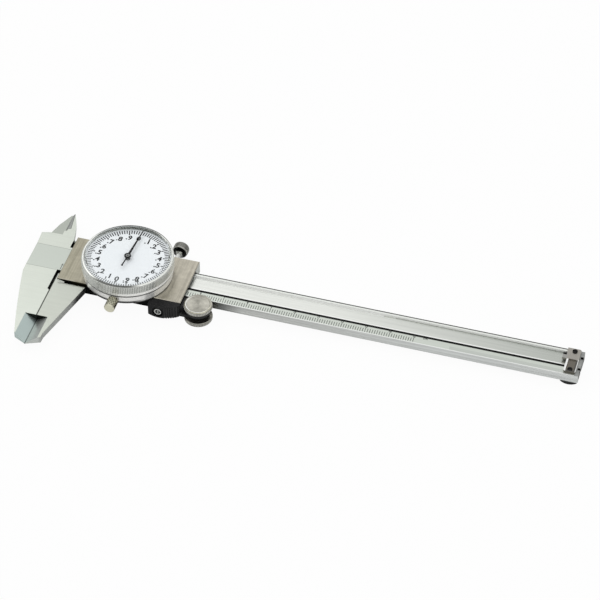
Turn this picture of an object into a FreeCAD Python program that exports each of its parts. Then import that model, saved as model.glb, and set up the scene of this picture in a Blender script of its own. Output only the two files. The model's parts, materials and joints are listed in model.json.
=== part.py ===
import FreeCAD, Part
import math
import os
import Sketcher

# Dial caliper, 0 to 150 mm, lying on its back. Millimetres.
# X runs along the beam, away from the fixed jaws; X = 0 is the closed contact plane.
# Y runs towards the short inside jaws; Z points out of the dial. Z = 0 is the beam's face.

Vector = FreeCAD.Vector
Rotation = FreeCAD.Rotation
TURN = 360.0

SIZES = [
    # beam and fixed jaws
    ("beam_width", 14.2, "beam, across"),
    ("beam_thick", 3.8, "beam and outside jaws, front to back"),
    ("beam_reach", 217.9, "contact plane to the beam's end"),
    ("head_reach", 14.6, "contact plane to the head's outer side"),
    ("head_corner_drop", 4.0, "straight side of the head below the beam"),
    ("jaw_reach", 42.1, "outside jaws, below the beam"),
    ("jaw_side_reach", 39.6, "outer corner of the fixed jaw, below the beam"),
    ("jaw_thick", 3.3, "outside jaws under the slider, front to back"),
    ("jaw_tip_thick", 2.95, "outside jaws at their tips, front to back"),
    ("jaw_tip_fixed", 5.2, "fixed jaw's width at its outer corner"),
    ("jaw_tip_sliding", 5.9, "movable jaw's width at its outer corner"),
    ("jaw_root_sliding", 13.7, "movable jaw's width under the slider"),
    ("relief_width", 1.1, "relief between head and slider, at the beam"),
    ("relief_reach", 12.6, "relief's length below the beam"),
    ("bevel_reach", 14.4, "knife edges of the outside jaws, along the edge"),
    ("bevel_width", 4.8, "knife edges of the outside jaws, across"),
    ("bevel_depth", 2.7, "knife edges of the outside jaws, depth of the grind"),
    ("inner_edge", 6.2, "inside jaws' measuring edges, from the contact plane"),
    ("inner_reach", 20.7, "inside jaws, above the beam"),
    ("inner_root", 6.7, "shoulder of the inside jaws, above the beam"),
    ("blade_thick", 1.85, "each inside jaw, front to back"),
    ("recess_depth", 0.95, "front recess of the beam"),
    ("recess_from", 14.0, "front recess, first end"),
    ("recess_end", 5.7, "front recess short of the beam's end"),
    ("flange_width", 1.4, "upper flange beside the recess"),
    ("scale_land", 4.0, "lower flange with the scale"),
    ("rod_groove_width", 3.4, "rear groove for the depth rod"),
    ("rod_groove_depth", 1.9, "rear groove, depth"),
    ("rod_groove_lead", 3.0, "rear groove, ahead of the depth rod's head"),
    # rack
    ("rack_width", 0.85, "rack strip with its teeth, across"),
    ("rack_thick", 1.3, "rack strip, front to back"),
    ("rack_sink", 0.35, "rack strip's face below the beam's face"),
    ("rack_turn", 10.0, "slider travel for one turn of the rack pinion"),
    ("rack_teeth_from", 30.0, "toothed length, first end"),
    ("rack_teeth_end", 25.9, "toothed length short of the beam's end"),
    # slider
    ("slider_left", 1.1, "contact plane to the slider's left end"),
    ("slider_length", 53.2, "slider, along the beam"),
    ("slider_low", 6.1, "slider below the beam"),
    ("slider_high", 5.6, "slider above the beam"),
    ("plate_rise", 1.5, "slider's face above the beam's face"),
    ("wall_drop", 0.4, "slider's side walls below the beam's back"),
    ("plate_chamfer", 0.3, "edges of the slider's face"),
    ("slide_gap", 0.05, "running gap between slider and beam"),
    ("gib_thick", 0.85, "gib strip"),
    ("gib_end_gap", 0.9, "gib strip short of the slider's ends"),
    ("cover_thick", 0.7, "rear cover"),
    ("cover_margin", 1.7, "rear cover's edge inside the slider's edge"),
    ("cover_screw_inset", 2.0, "cover screws from the cover's edges"),
    ("rod_width", 3.0, "depth rod, across"),
    ("rod_thick", 1.5, "depth rod, front to back"),
    ("rod_head_back", 9.3, "depth rod's head, first end, back from the slider's end"),
    ("rod_head_length", 6.0, "depth rod's head, along the beam"),
    # dial
    ("dial_at", 28.2, "dial's centre, from the contact plane"),
    ("dial_offset", 1.9, "dial's centre, below the beam's middle line"),
    ("housing_radius", 17.3, "drum under the bezel"),
    ("housing_ring", 0.6, "drum's upper ring, proud of the drum"),
    ("housing_wall", 1.7, "drum's wall"),
    ("housing_floor", 0.8, "drum's floor"),
    ("housing_height", 3.6, "drum's visible height"),
    ("neck_height", 2.6, "neck that the bezel turns on"),
    ("bezel_over", 1.55, "bezel beyond the drum, all round"),
    ("bezel_wall", 1.0, "bezel's wall"),
    ("bezel_height", 5.4, "bezel, bottom to top"),
    ("bezel_gap", 0.35, "bezel above the drum"),
    ("bezel_play", 0.06, "bezel round its neck"),
    ("bezel_seat", 0.6, "inner lip that carries the dial plate"),
    ("dial_thick", 0.35, "dial plate"),
    ("dial_depth", 1.8, "dial plate's face below the bezel's top"),
    ("crystal_thick", 0.6, "crystal"),
    ("crystal_lip", 0.35, "bezel's rim over the crystal's flange"),
    ("crystal_rise", 0.45, "crystal's inner face above the bezel's top"),
    # movement
    ("arbor_radius", 0.7, "arbors"),
    ("pivot_play", 0.04, "arbors in their holes"),
    ("wheel_module", 0.16, "wheels of the train"),
    ("wheel_thick", 0.35, "wheels of the train"),
    ("pinion_at", 6.5, "rack pinion's arbor, beyond the dial's centre"),
    ("bridge_thick", 0.7, "bridge"),
    ("bridge_rise", 5.0, "bridge above the slider's face"),
    ("bridge_radius", 8.6, "bridge, outline"),
    ("post_radius", 0.9, "bridge posts"),
    ("post_circle", 7.2, "bridge posts, from the bridge's centre"),
    ("pointer_length", 16.4, "pointer, centre to tip"),
    ("pointer_tail", 6.2, "pointer, centre to tail"),
    ("pointer_angle", 4.6, "pointer, clockwise of the beam's normal"),
    ("pointer_hub", 1.4, "pointer's hub, radius"),
    ("pointer_boss", 0.95, "boss under the pointer, radius"),
    ("pointer_boss_drop", 0.8, "boss under the pointer"),
    ("pointer_gap", 1.4, "pointer above the dial"),
    # thumb roller
    ("roller_beyond", 7.2, "roller's axis beyond the slider's end"),
    ("roller_radius", 5.75, "roller flanges"),
    ("roller_grip", 0.7, "roller flanges over the beam's edge"),
    ("roller_top", 1.9, "upper flange"),
    ("roller_low", 1.9, "lower flange"),
    ("roller_gap", 0.1, "roller flanges clear of the beam's faces"),
    ("ring_gap", 0.1, "drive ring clear of the beam's edge"),
    ("ring_height", 1.95, "drive ring"),
    ("spindle_radius", 1.6, "roller's spindle"),
    ("spindle_play", 0.03, "spindle in its arm"),
    ("block_back", 12.8, "thumb block, first end, back from the slider's end"),
    ("block_length", 12.7, "thumb block, along the beam"),
    ("block_depth", 3.7, "thumb block, out from the slider"),
    ("block_bulge", 1.1, "thumb block's curved front"),
    ("block_taper", 1.6, "thumb block, shallower at its last end"),
    ("block_drop", 0.2, "thumb block's face below the slider's face"),
    ("block_tall", 5.8, "thumb block, top to bottom"),
    ("arm_thick", 1.5, "arm that carries the spindle"),
    ("arm_radius", 3.4, "arm round the spindle"),
    ("rib_pitch", 0.9, "grip grooves, one to the next"),
    ("rib_width", 0.4, "grip grooves, across"),
    ("rib_depth", 0.35, "grip grooves, depth"),
    # screws
    ("lock_back", 10.85, "lock screw, back from the slider's end"),
    ("lock_head_radius", 3.1, "lock screw's knurled head"),
    ("lock_head_length", 3.6, "lock screw's knurled head"),
    ("lock_stand", 6.35, "lock screw's head, out from the slider"),
    ("clamp_radius", 2.2, "bezel clamp's barrel"),
    ("clamp_length", 5.35, "bezel clamp's barrel"),
    ("clamp_gap", 0.25, "bezel clamp's barrel, out from the bezel"),
    ("small_screw", 0.7, "small screws' shanks, radius"),
    ("small_head", 1.25, "small screws' heads, radius"),
    ("thread_gap", 0.03, "screws in their holes"),
    ("block_screw_head", 1.9, "thumb block screw's head, radius"),
    ("counterbore", 2.4, "thumb block's counterbore, radius"),
    ("counterbore_depth", 0.8, "thumb block's counterbore, depth"),
    # tail
    ("tail_plate_length", 4.9, "end plate, along the beam"),
    ("tail_plate_thick", 0.9, "end plate"),
    ("tail_inset", 1.45, "end plate short of the beam's end"),
    ("tail_tab_length", 1.9, "end plate's tab"),
    ("tail_tab_width", 3.0, "end plate's tab"),
    ("end_notch", 1.3, "notches in the beam's end face, across"),
    ("end_notch_depth", 1.1, "notches in the beam's end face, depth"),
    ("stop_length", 6.8, "rear stop, along the beam"),
    ("stop_inset", 0.6, "rear stop short of the beam's end"),
    ("stop_thick", 2.6, "rear stop"),
    ("tail_clear", 0.2, "tail pieces clear of the roller's flanges"),
]


class Size:
    """A number that carries the sheet expression it comes from."""

    def __init__(self, value, text):
        self.value = float(value)
        self.text = text

    def __add__(self, other):
        return Size(self.value + number(other), "(" + self.text + " + " + wording(other) + ")")

    def __radd__(self, other):
        return Size(number(other) + self.value, "(" + wording(other) + " + " + self.text + ")")

    def __sub__(self, other):
        return Size(self.value - number(other), "(" + self.text + " - " + wording(other) + ")")

    def __rsub__(self, other):
        return Size(number(other) - self.value, "(" + wording(other) + " - " + self.text + ")")

    def __mul__(self, other):
        return Size(self.value * number(other), "(" + self.text + " * " + wording(other) + ")")

    __rmul__ = __mul__

    def __truediv__(self, other):
        return Size(self.value / number(other), "(" + self.text + " / " + wording(other) + ")")

    def __neg__(self):
        return Size(-self.value, "(0 - " + self.text + ")")


def number(item):
    return item.value if isinstance(item, Size) else float(item)


def wording(item):
    return item.text if isinstance(item, Size) else "%.6f" % item


def root(item):
    return Size(math.sqrt(item.value), "sqrt(" + item.text + ")")


doc = FreeCAD.newDocument("dial_caliper")
sheet = doc.addObject("Spreadsheet::Sheet", "Sizes")


class Sheet:
    """The sheet's cells by alias, each as a Size."""


s = Sheet()
for row, (alias, value, note) in enumerate(SIZES, start=1):
    sheet.set("A%d" % row, note)
    sheet.set("B%d" % row, str(value))
    sheet.setAlias("B%d" % row, alias)
    setattr(s, alias, Size(value, "Sizes." + alias))
doc.recompute()

nodes = []


def new_body(label):
    body = doc.addObject("PartDesign::Body", label)
    body.Label = label
    nodes.append(body)
    return body


def place(body, x=None, y=None, z=None, turn=None):
    """Moves a finished body; its offsets follow the sheet."""
    if turn is not None:
        body.Placement = FreeCAD.Placement(Vector(), turn)
    for axis, amount in (("x", x), ("y", y), ("z", z)):
        if amount is not None:
            body.setExpression("Placement.Base." + axis, wording(amount))


def sketch_on(body, plane, lift=0):
    origin = [item for item in body.Origin.OriginFeatures if item.Role == plane][0]
    sketch = body.newObject("Sketcher::SketchObject", body.Label + "_sketch")
    sketch.AttachmentSupport = [(origin, "")]
    sketch.MapMode = "FlatFace"
    sketch.AttachmentOffset = FreeCAD.Placement(Vector(0, 0, number(lift)), Rotation())
    if isinstance(lift, Size):
        sketch.setExpression("AttachmentOffset.Base.z", lift.text)
    return sketch


def hold(sketch, geometry, end, x, y):
    """Dimensions one sketch point from the origin."""
    for kind, amount in (("DistanceX", x), ("DistanceY", y)):
        index = sketch.addConstraint(
            Sketcher.Constraint(kind, -1, 1, geometry, end, number(amount)))
        if isinstance(amount, Size):
            sketch.setExpression("Constraints[%d]" % index, amount.text)


def upright_arc(first, middle, last):
    """Arc through three points, run anticlockwise; says which of its ends comes first."""
    circle = Part.Circle(first, middle, last)
    centre = circle.Center
    begin = math.atan2(first.y - centre.y, first.x - centre.x)
    end = math.atan2(last.y - centre.y, last.x - centre.x)
    turn = (middle - first).cross(last - middle).z
    if turn < 0:
        begin, end = end, begin
    if end < begin:
        end += 2 * math.pi
    full = Part.Circle(centre, Vector(0, 0, 1), circle.Radius)
    return Part.ArcOfCircle(full, begin, end), 1 if turn > 0 else 2


def outline(sketch, corners):
    """Closed outline. A corner ("arc", x, y) bends the stretch between its neighbours."""
    points = []
    bends = {}
    for corner in corners:
        if corner[0] == "arc":
            bends[len(points) - 1] = corner[1:]
        else:
            points.append(corner)
    ends = []
    for index, start in enumerate(points):
        stop = points[(index + 1) % len(points)]
        first = Vector(number(start[0]), number(start[1]), 0)
        last = Vector(number(stop[0]), number(stop[1]), 0)
        if index in bends:
            middle = Vector(number(bends[index][0]), number(bends[index][1]), 0)
            bend, head = upright_arc(first, middle, last)
            geometry = sketch.addGeometry(bend)
        else:
            geometry = sketch.addGeometry(Part.LineSegment(first, last))
            head = 1
        ends.append((geometry, head))
    for index, (geometry, head) in enumerate(ends):
        following, its_head = ends[(index + 1) % len(ends)]
        sketch.addConstraint(
            Sketcher.Constraint("Coincident", geometry, 3 - head, following, its_head))
    for index, (geometry, head) in enumerate(ends):
        hold(sketch, geometry, head, points[index][0], points[index][1])
    for index, bend in bends.items():
        mark = sketch.addGeometry(
            Part.Point(Vector(number(bend[0]), number(bend[1]), 0)), True)
        hold(sketch, mark, 1, bend[0], bend[1])
        sketch.addConstraint(Sketcher.Constraint("PointOnObject", mark, 1, ends[index][0]))
    return sketch


def ring(sketch, x, y, radius):
    """Circle with a driven centre and radius."""
    geometry = sketch.addGeometry(
        Part.Circle(Vector(number(x), number(y), 0), Vector(0, 0, 1), number(radius)))
    hold(sketch, geometry, 3, x, y)
    index = sketch.addConstraint(Sketcher.Constraint("Radius", geometry, number(radius)))
    if isinstance(radius, Size):
        sketch.setExpression("Constraints[%d]" % index, radius.text)
    return sketch


def box_points(x1, y1, x2, y2):
    return [(x1, y1), (x2, y1), (x2, y2), (x1, y2)]


def extrude(body, kind, sketch, length, reverse=False, both=False):
    feature = body.newObject("PartDesign::" + kind, body.Label + "_" + kind.lower())
    feature.Profile = sketch
    feature.Length = number(length)
    if isinstance(length, Size):
        feature.setExpression("Length", length.text)
    feature.Reversed = reverse
    if both:
        feature.Midplane = True
    sketch.Visibility = False
    return feature


def pad(body, sketch, length, reverse=False, both=False):
    return extrude(body, "Pad", sketch, length, reverse, both)


def pocket(body, sketch, length, reverse=False, both=False):
    return extrude(body, "Pocket", sketch, length, reverse, both)


def turned(body, corners):
    """Solid turned about the body's own Z axis from (radius, height) corners."""
    sketch = outline(sketch_on(body, "XZ_Plane"), corners)
    feature = body.newObject("PartDesign::Revolution", body.Label + "_turned")
    feature.Profile = sketch
    feature.ReferenceAxis = (sketch, ["V_Axis"])
    feature.Angle = TURN
    return feature


def screw(label, head_radius, head_height, shank_radius, shank_length, slots=1):
    """Cheese-head screw along +Z, head's seat at the origin, driver slots in its top."""
    body = new_body(label)
    edge = head_height * 0.2
    turned(body, [
        (0, -shank_length),
        (shank_radius - 0.15, -shank_length),
        (shank_radius, 0.15 - shank_length),
        (shank_radius, 0),
        (head_radius, 0),
        (head_radius, head_height - edge),
        (head_radius - edge, head_height),
        (0, head_height),
    ])
    for turn in range(slots):
        sketch = sketch_on(body, "XY_Plane", head_height)
        half = head_radius * (0.62 if slots == 2 else 1.1)
        thin = head_radius * 0.14
        if turn == 0:
            outline(sketch, box_points(-half, -thin, half, thin))
        else:
            outline(sketch, box_points(-thin, -half, thin, half))
        pocket(body, sketch, head_height * 0.55)
    return body


UP_Y = Rotation(Vector(1, 0, 0), -90)
DOWN_Y = Rotation(Vector(1, 0, 0), 90)
DOWN_Z = Rotation(Vector(1, 0, 0), 180)

# Places that several pieces share.
top = s.beam_width / 2
low = -top
back = -s.beam_thick
recess_top = top - s.flange_width
land_top = low + s.scale_land
rack_front = land_top + s.rack_width
slider_right = s.slider_left + s.slider_length
slider_bottom = low - s.slider_low
slider_top = top + s.slider_high
wall_back = back - s.wall_drop
gib_inner = top + s.slide_gap
gib_outer = gib_inner + s.gib_thick
jaw_end = low - s.jaw_reach
jaw_corner = low - s.jaw_side_reach
bevel_top = jaw_end + s.bevel_reach
shoulder = top + s.inner_root
inner_tip = top + s.inner_reach
cover_back = wall_back - s.cover_thick
dial_y = -s.dial_offset
mid_back = back / 2
recess_last = s.beam_reach - s.recess_end
lock_x = slider_right - s.lock_back
block_from = slider_right - s.block_back
roller_x = slider_right + s.roller_beyond
rod_head_from = slider_right - s.rod_head_back
bezel_radius = s.housing_radius + s.bezel_over

# Beam with the fixed jaws.
beam = new_body("beam")
outline_sketch = sketch_on(beam, "XY_Plane")
outline(outline_sketch, [
    (s.beam_reach, top),
    (-s.head_reach, top),
    (-s.head_reach, low - s.head_corner_drop),
    ("arc", -s.head_reach * 0.755, low - s.head_corner_drop * 4.75),
    (-s.jaw_tip_fixed, jaw_corner),
    (0, jaw_end),
    (0, low - s.relief_reach),
    (-s.relief_width, low - s.relief_reach + 0.9),
    (-s.relief_width, low),
    (s.beam_reach, low),
])
pad(beam, outline_sketch, s.beam_thick, reverse=True)
blade = outline(sketch_on(beam, "XY_Plane"), [
    (-s.head_reach, top - 1),
    (-s.head_reach - 0.4, shoulder - 1.0),
    (-s.inner_edge * 1.9, shoulder - 0.1),
    (-s.inner_edge, shoulder),
    (-s.inner_edge, inner_tip - 0.5),
    (-s.inner_edge + 0.7, inner_tip),
    ("arc", -s.inner_edge * 0.44, top + s.inner_reach * 0.68),
    (-0.5, top + s.inner_root * 0.72),
    (-0.5, top - 1),
])
pad(beam, blade, s.blade_thick, reverse=True)
front_recess = outline(
    sketch_on(beam, "XY_Plane"),
    box_points(s.recess_from, rack_front, recess_last, recess_top))
pocket(beam, front_recess, s.recess_depth)
rack_groove = outline(
    sketch_on(beam, "XY_Plane"),
    box_points(s.recess_from, land_top, recess_last, rack_front))
pocket(beam, rack_groove, s.rack_sink + s.rack_thick)
rod_groove = outline(
    sketch_on(beam, "XY_Plane", back),
    box_points(rod_head_from - s.rod_groove_lead, -s.rod_groove_width / 2,
               s.beam_reach + 1, s.rod_groove_width / 2))
pocket(beam, rod_groove, s.rod_groove_depth, reverse=True)


def grind(body, side, lift, drop, width, corner_y, length):
    """Wedge ground off an outside jaw, deepest at the contact plane."""
    sketch = outline(sketch_on(body, "XZ_Plane", -corner_y), [
        (side * -0.5, lift),
        (side * width, lift),
        (side * -0.5, lift + drop * (1 + 0.5 / width.value)),
    ])
    return pocket(body, sketch, length + 2, reverse=True)


def taper(body, from_x, length):
    """Rear of an outside jaw, thinner towards its tip."""
    sketch = outline(sketch_on(body, "YZ_Plane", from_x), [
        (jaw_end - 1, back - 1),
        (slider_bottom, back - 1),
        (slider_bottom, -s.jaw_thick),
        (jaw_end - 1, -s.jaw_tip_thick),
    ])
    return pocket(body, sketch, length, reverse=True)


grind(beam, -1, 0, -s.bevel_depth, s.bevel_width, bevel_top, s.bevel_reach)
taper(beam, -s.head_reach - 1, s.head_reach + 2)
edge_grind = outline(sketch_on(beam, "XZ_Plane", -(shoulder + 2.5)), [
    (-s.inner_edge - 0.5, 0.5),
    (-s.inner_edge + 1.7, 0.5),
    (-s.inner_edge - 0.5, -s.blade_thick + 0.4),
])
pocket(beam, edge_grind, s.inner_reach)
tail_screw_x = s.beam_reach - s.tail_inset - s.tail_plate_length * 0.5
tail_screw_high = top - 1.7
tail_screw_low = low + s.roller_grip + s.tail_clear + 1.65
tail_holes = sketch_on(beam, "XY_Plane")
ring(tail_holes, tail_screw_x, tail_screw_high, s.small_screw + s.thread_gap)
ring(tail_holes, tail_screw_x, tail_screw_low, s.small_screw + s.thread_gap)
pocket(beam, tail_holes, 2.2)
end_notches = sketch_on(beam, "XY_Plane")
for notch_y in (top - 3.8, low + 4.0):
    outline(end_notches, box_points(
        s.beam_reach - s.end_notch_depth, notch_y - s.end_notch / 2,
        s.beam_reach + 1, notch_y + s.end_notch / 2))
pocket(beam, end_notches, s.beam_thick * 0.55)

# Tail: end plate with its tab, two screws, rear stop. The roller's flanges pass by them.
tail_low = low + s.roller_grip + s.tail_clear
tail_left = s.beam_reach - s.tail_inset - s.tail_plate_length
tail_right = s.beam_reach - s.tail_inset
end_plate = new_body("end_plate")
plate_sketch = outline(sketch_on(end_plate, "XY_Plane"), [
    (tail_left, tail_low + 0.8),
    ("arc", tail_left + 0.235, tail_low + 0.235),
    (tail_left + 0.8, tail_low),
    (tail_right - 0.3, tail_low),
    (tail_right, tail_low + 0.3),
    (tail_right, top - 0.5),
    (tail_right - 0.5, top - 0.05),
    (tail_left - 0.6, top - 0.05),
    (tail_left - 0.6, top - 3.0),
    (tail_left - s.tail_tab_length, top - 3.2),
    (tail_left - s.tail_tab_length, top - 3.2 - s.tail_tab_width),
    (tail_left, top - 3.2 - s.tail_tab_width),
])
pad(end_plate, plate_sketch, s.tail_plate_thick)
plate_well = outline(
    sketch_on(end_plate, "XY_Plane", s.tail_plate_thick),
    box_points(tail_left + 0.8, tail_low + 0.5, tail_right - 0.9, top - 6.2))
pocket(end_plate, plate_well, s.tail_plate_thick * 0.55)
plate_holes = sketch_on(end_plate, "XY_Plane", s.tail_plate_thick)
ring(plate_holes, tail_screw_x, tail_screw_high, s.small_screw + s.thread_gap)
ring(plate_holes, tail_screw_x, tail_screw_low, s.small_screw + s.thread_gap)
pocket(end_plate, plate_holes, s.tail_plate_thick + 1)
for label, spot, seat in (
        ("end_plate_screw_upper", tail_screw_high, s.tail_plate_thick),
        ("end_plate_screw_lower", tail_screw_low, s.tail_plate_thick * 0.45)):
    place(screw(label, s.small_head - 0.2, 0.45, s.small_screw, seat + 1.8),
          tail_screw_x, spot, seat)

rear_stop = new_body("rear_stop")
stop_x = s.beam_reach - s.stop_inset - s.stop_length / 2
stop_sketch = outline(sketch_on(rear_stop, "XY_Plane", back), [
    (stop_x - s.stop_length / 2, tail_low + 1.3),
    ("arc", stop_x, tail_low),
    (stop_x + s.stop_length / 2, tail_low + 1.3),
    (stop_x + s.stop_length / 2, -tail_low - 1.3),
    ("arc", stop_x, -tail_low),
    (stop_x - s.stop_length / 2, -tail_low - 1.3),
])
pad(rear_stop, stop_sketch, s.stop_thick, reverse=True)
stop_screw_y = s.rod_groove_width / 2 + 1.7
stop_holes = sketch_on(rear_stop, "XY_Plane", back - s.stop_thick)
ring(stop_holes, stop_x, stop_screw_y, s.small_head + 0.05)
ring(stop_holes, stop_x, -stop_screw_y, s.small_head + 0.05)
pocket(rear_stop, stop_holes, 0.7, reverse=True)
stop_shanks = sketch_on(rear_stop, "XY_Plane", back)
ring(stop_shanks, stop_x, stop_screw_y, s.small_screw + s.thread_gap)
ring(stop_shanks, stop_x, -stop_screw_y, s.small_screw + s.thread_gap)
pocket(rear_stop, stop_shanks, s.stop_thick + 1)
stop_beam_holes = sketch_on(beam, "XY_Plane", back)
ring(stop_beam_holes, stop_x, stop_screw_y, s.small_screw + s.thread_gap)
ring(stop_beam_holes, stop_x, -stop_screw_y, s.small_screw + s.thread_gap)
pocket(beam, stop_beam_holes, 1.5, reverse=True)
for label, spot in (("stop_screw_upper", stop_screw_y), ("stop_screw_lower", -stop_screw_y)):
    place(screw(label, s.small_head, 0.6, s.small_screw, s.stop_thick - 0.7 + 1.3),
          stop_x, spot, back - s.stop_thick + 0.7, DOWN_Z)

# Slider frame with the movable jaws.
slider = new_body("slider_frame")
block = outline(
    sketch_on(slider, "XY_Plane", s.plate_rise),
    box_points(s.slider_left, slider_bottom, slider_right, slider_top))
block_pad = pad(slider, block, s.plate_rise - wall_back, reverse=True)
doc.recompute()
face_edges = []
for index, edge in enumerate(block_pad.Shape.Edges, start=1):
    if all(abs(vertex.Z - s.plate_rise.value) < 1e-6 for vertex in edge.Vertexes):
        face_edges.append("Edge%d" % index)
face_chamfer = slider.newObject("PartDesign::Chamfer", "face_chamfer")
face_chamfer.Base = (block_pad, face_edges)
face_chamfer.setExpression("Size", s.plate_chamfer.text)
jaw = outline(sketch_on(slider, "XY_Plane"), [
    (0, low - s.slide_gap - 2.0),
    (s.slider_left + 1, low - s.slide_gap - 2.0),
    (s.jaw_root_sliding, low - s.slide_gap - 2.0),
    (s.jaw_root_sliding, slider_bottom),
    (s.jaw_tip_sliding + 0.1, jaw_corner + 2.8),
    (s.jaw_tip_sliding, jaw_corner),
    (0, jaw_end),
])
pad(slider, jaw, s.beam_thick, reverse=True)
inner_arm = outline(sketch_on(slider, "XY_Plane", back), [
    (s.slider_left + 1, top + 0.2),
    (-s.inner_edge * 1.75, top + 0.2),
    (-s.inner_edge * 1.95, top + s.inner_root * 1.2),
    (-s.inner_edge * 1.66, top + s.inner_reach * 0.68),
    (-s.inner_edge - 1.0, inner_tip + 0.3),
    (-s.inner_edge, inner_tip),
    (-s.inner_edge, shoulder + 0.3),
    (-s.inner_edge * 0.3, shoulder + 0.3),
    (s.slider_left, slider_top),
    (s.slider_left + 1, slider_top),
])
pad(slider, inner_arm, s.beam_thick - s.blade_thick - 0.1)
passage = outline(sketch_on(slider, "YZ_Plane", s.slider_left - s.slider_length / 2), [
    (low - s.slide_gap, wall_back - 1),
    (gib_outer + s.slide_gap, wall_back - 1),
    (gib_outer + s.slide_gap, s.slide_gap),
    (low - s.slide_gap, s.slide_gap),
])
passage_cut = pocket(slider, passage, s.slider_length * 2, reverse=True)
grind(slider, 1, 0, -s.bevel_depth, s.bevel_width, bevel_top, s.bevel_reach)
taper(slider, -1, s.jaw_root_sliding + 3)

# Movement layout: A carries the rack pinion, B the intermediate wheel, C the pointer.
pinion_teeth = 16
wheel_a_teeth = 50
pinion_b_teeth = 20
wheel_b_teeth = 40
pinion_c_teeth = 20
rack_pitch = s.rack_turn / pinion_teeth
rack_module = rack_pitch / math.pi
pitch_radius = s.rack_turn / (2 * math.pi)
c_x = s.dial_at
c_y = dial_y
a_x = c_x + s.pinion_at
a_y = rack_front - rack_module + pitch_radius
reach_ab = s.wheel_module * (wheel_a_teeth + pinion_b_teeth) / 2
reach_bc = s.wheel_module * (wheel_b_teeth + pinion_c_teeth) / 2
gap_x = a_x - c_x
gap_y = a_y - c_y
reach_ca = root(gap_x * gap_x + gap_y * gap_y)
along = (reach_bc * reach_bc - reach_ab * reach_ab + reach_ca * reach_ca) / (reach_ca * 2)
aside = root(reach_bc * reach_bc - along * along)
b_x = c_x + (gap_x * along - gap_y * aside) / reach_ca
b_y = c_y + (gap_y * along + gap_x * aside) / reach_ca
plate = s.plate_rise

pinion_hole = sketch_on(slider, "XY_Plane", plate)
ring(pinion_hole, a_x, a_y, pitch_radius + rack_module + 0.5)
pocket(slider, pinion_hole, plate + 1)
housing_screw_circle = s.housing_radius - s.housing_wall - 2.2
housing_spots = []
for angle in (100, 205, 335):
    housing_spots.append((
        c_x + housing_screw_circle * math.cos(math.radians(angle)) * 0.62,
        c_y + housing_screw_circle * math.sin(math.radians(angle)) * 0.72))
housing_holes = sketch_on(slider, "XY_Plane", plate)
for spot in housing_spots:
    ring(housing_holes, spot[0], spot[1], s.small_screw + s.thread_gap)
pocket(slider, housing_holes, 1.1)
top_edge = sketch_on(slider, "XZ_Plane", -(slider_top + 1))
lock_z = mid_back
ring(top_edge, lock_x, lock_z, s.small_screw + 0.3 + s.thread_gap)
gib_screw_left = s.slider_left + 9
gib_screw_right = slider_right - 4
ring(top_edge, gib_screw_left, lock_z, s.small_screw + s.thread_gap)
ring(top_edge, gib_screw_right, lock_z, s.small_screw + s.thread_gap)
pocket(slider, top_edge, s.slider_high + 1, reverse=True)
block_screw_x = block_from + 4.4
block_screw_z = plate - s.block_drop - s.block_tall / 2
low_edge = sketch_on(slider, "XZ_Plane", -(slider_bottom - 1))
ring(low_edge, block_screw_x, block_screw_z, 1.0 + s.thread_gap)
pocket(slider, low_edge, 5.0)

# Rear cover, its screws, the gib strip and its screws, the depth rod.
cover = new_body("rear_cover")
cover_left = s.slider_left + s.cover_margin
cover_right = slider_right - s.cover_margin
cover_low = slider_bottom + s.cover_margin
cover_high = slider_top - s.cover_margin
cover_sketch = outline(
    sketch_on(cover, "XY_Plane", wall_back),
    box_points(cover_left, cover_low, cover_right, cover_high))
pad(cover, cover_sketch, s.cover_thick, reverse=True)
cover_spots = []
for x in (cover_left + s.cover_screw_inset, cover_right - s.cover_screw_inset):
    for y in (cover_low + s.cover_screw_inset, cover_high - s.cover_screw_inset + 0.4):
        cover_spots.append((x, y))
rod_screw_x = rod_head_from + s.rod_head_length / 2
cover_holes = sketch_on(cover, "XY_Plane", wall_back)
for spot in cover_spots + [(rod_screw_x, 0)]:
    ring(cover_holes, spot[0], spot[1], s.small_screw + s.thread_gap)
pocket(cover, cover_holes, s.cover_thick + 1)
frame_holes = sketch_on(slider, "XY_Plane", wall_back)
for spot in cover_spots:
    ring(frame_holes, spot[0], spot[1], s.small_screw + s.thread_gap)
pocket(slider, frame_holes, 2.0, reverse=True)
for index, spot in enumerate(cover_spots + [(rod_screw_x, 0)], start=1):
    label = "cover_screw_%d" % index if index < 5 else "depth_rod_screw"
    place(screw(label, s.small_head, 0.5, s.small_screw, s.cover_thick + 1.2),
          spot[0], spot[1], cover_back, DOWN_Z)

gib = new_body("gib_strip")
gib_sketch = outline(
    sketch_on(gib, "XY_Plane", -0.1),
    box_points(s.slider_left + s.gib_end_gap, gib_inner,
               slider_right - s.gib_end_gap, gib_outer))
pad(gib, gib_sketch, s.beam_thick - 0.2, reverse=True)
for label, x in (("gib_screw_left", gib_screw_left), ("gib_screw_right", gib_screw_right)):
    body = new_body(label)
    long = slider_top - gib_outer - 0.3
    turned(body, [
        (0, 0),
        (s.small_screw - 0.2, 0),
        (s.small_screw, 0.2),
        (s.small_screw, long),
        (0, long),
    ])
    slot = outline(sketch_on(body, "XY_Plane", long), box_points(-1, -0.12, 1, 0.12))
    pocket(body, slot, 0.5)
    place(body, x, gib_outer, lock_z, UP_Y)

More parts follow.
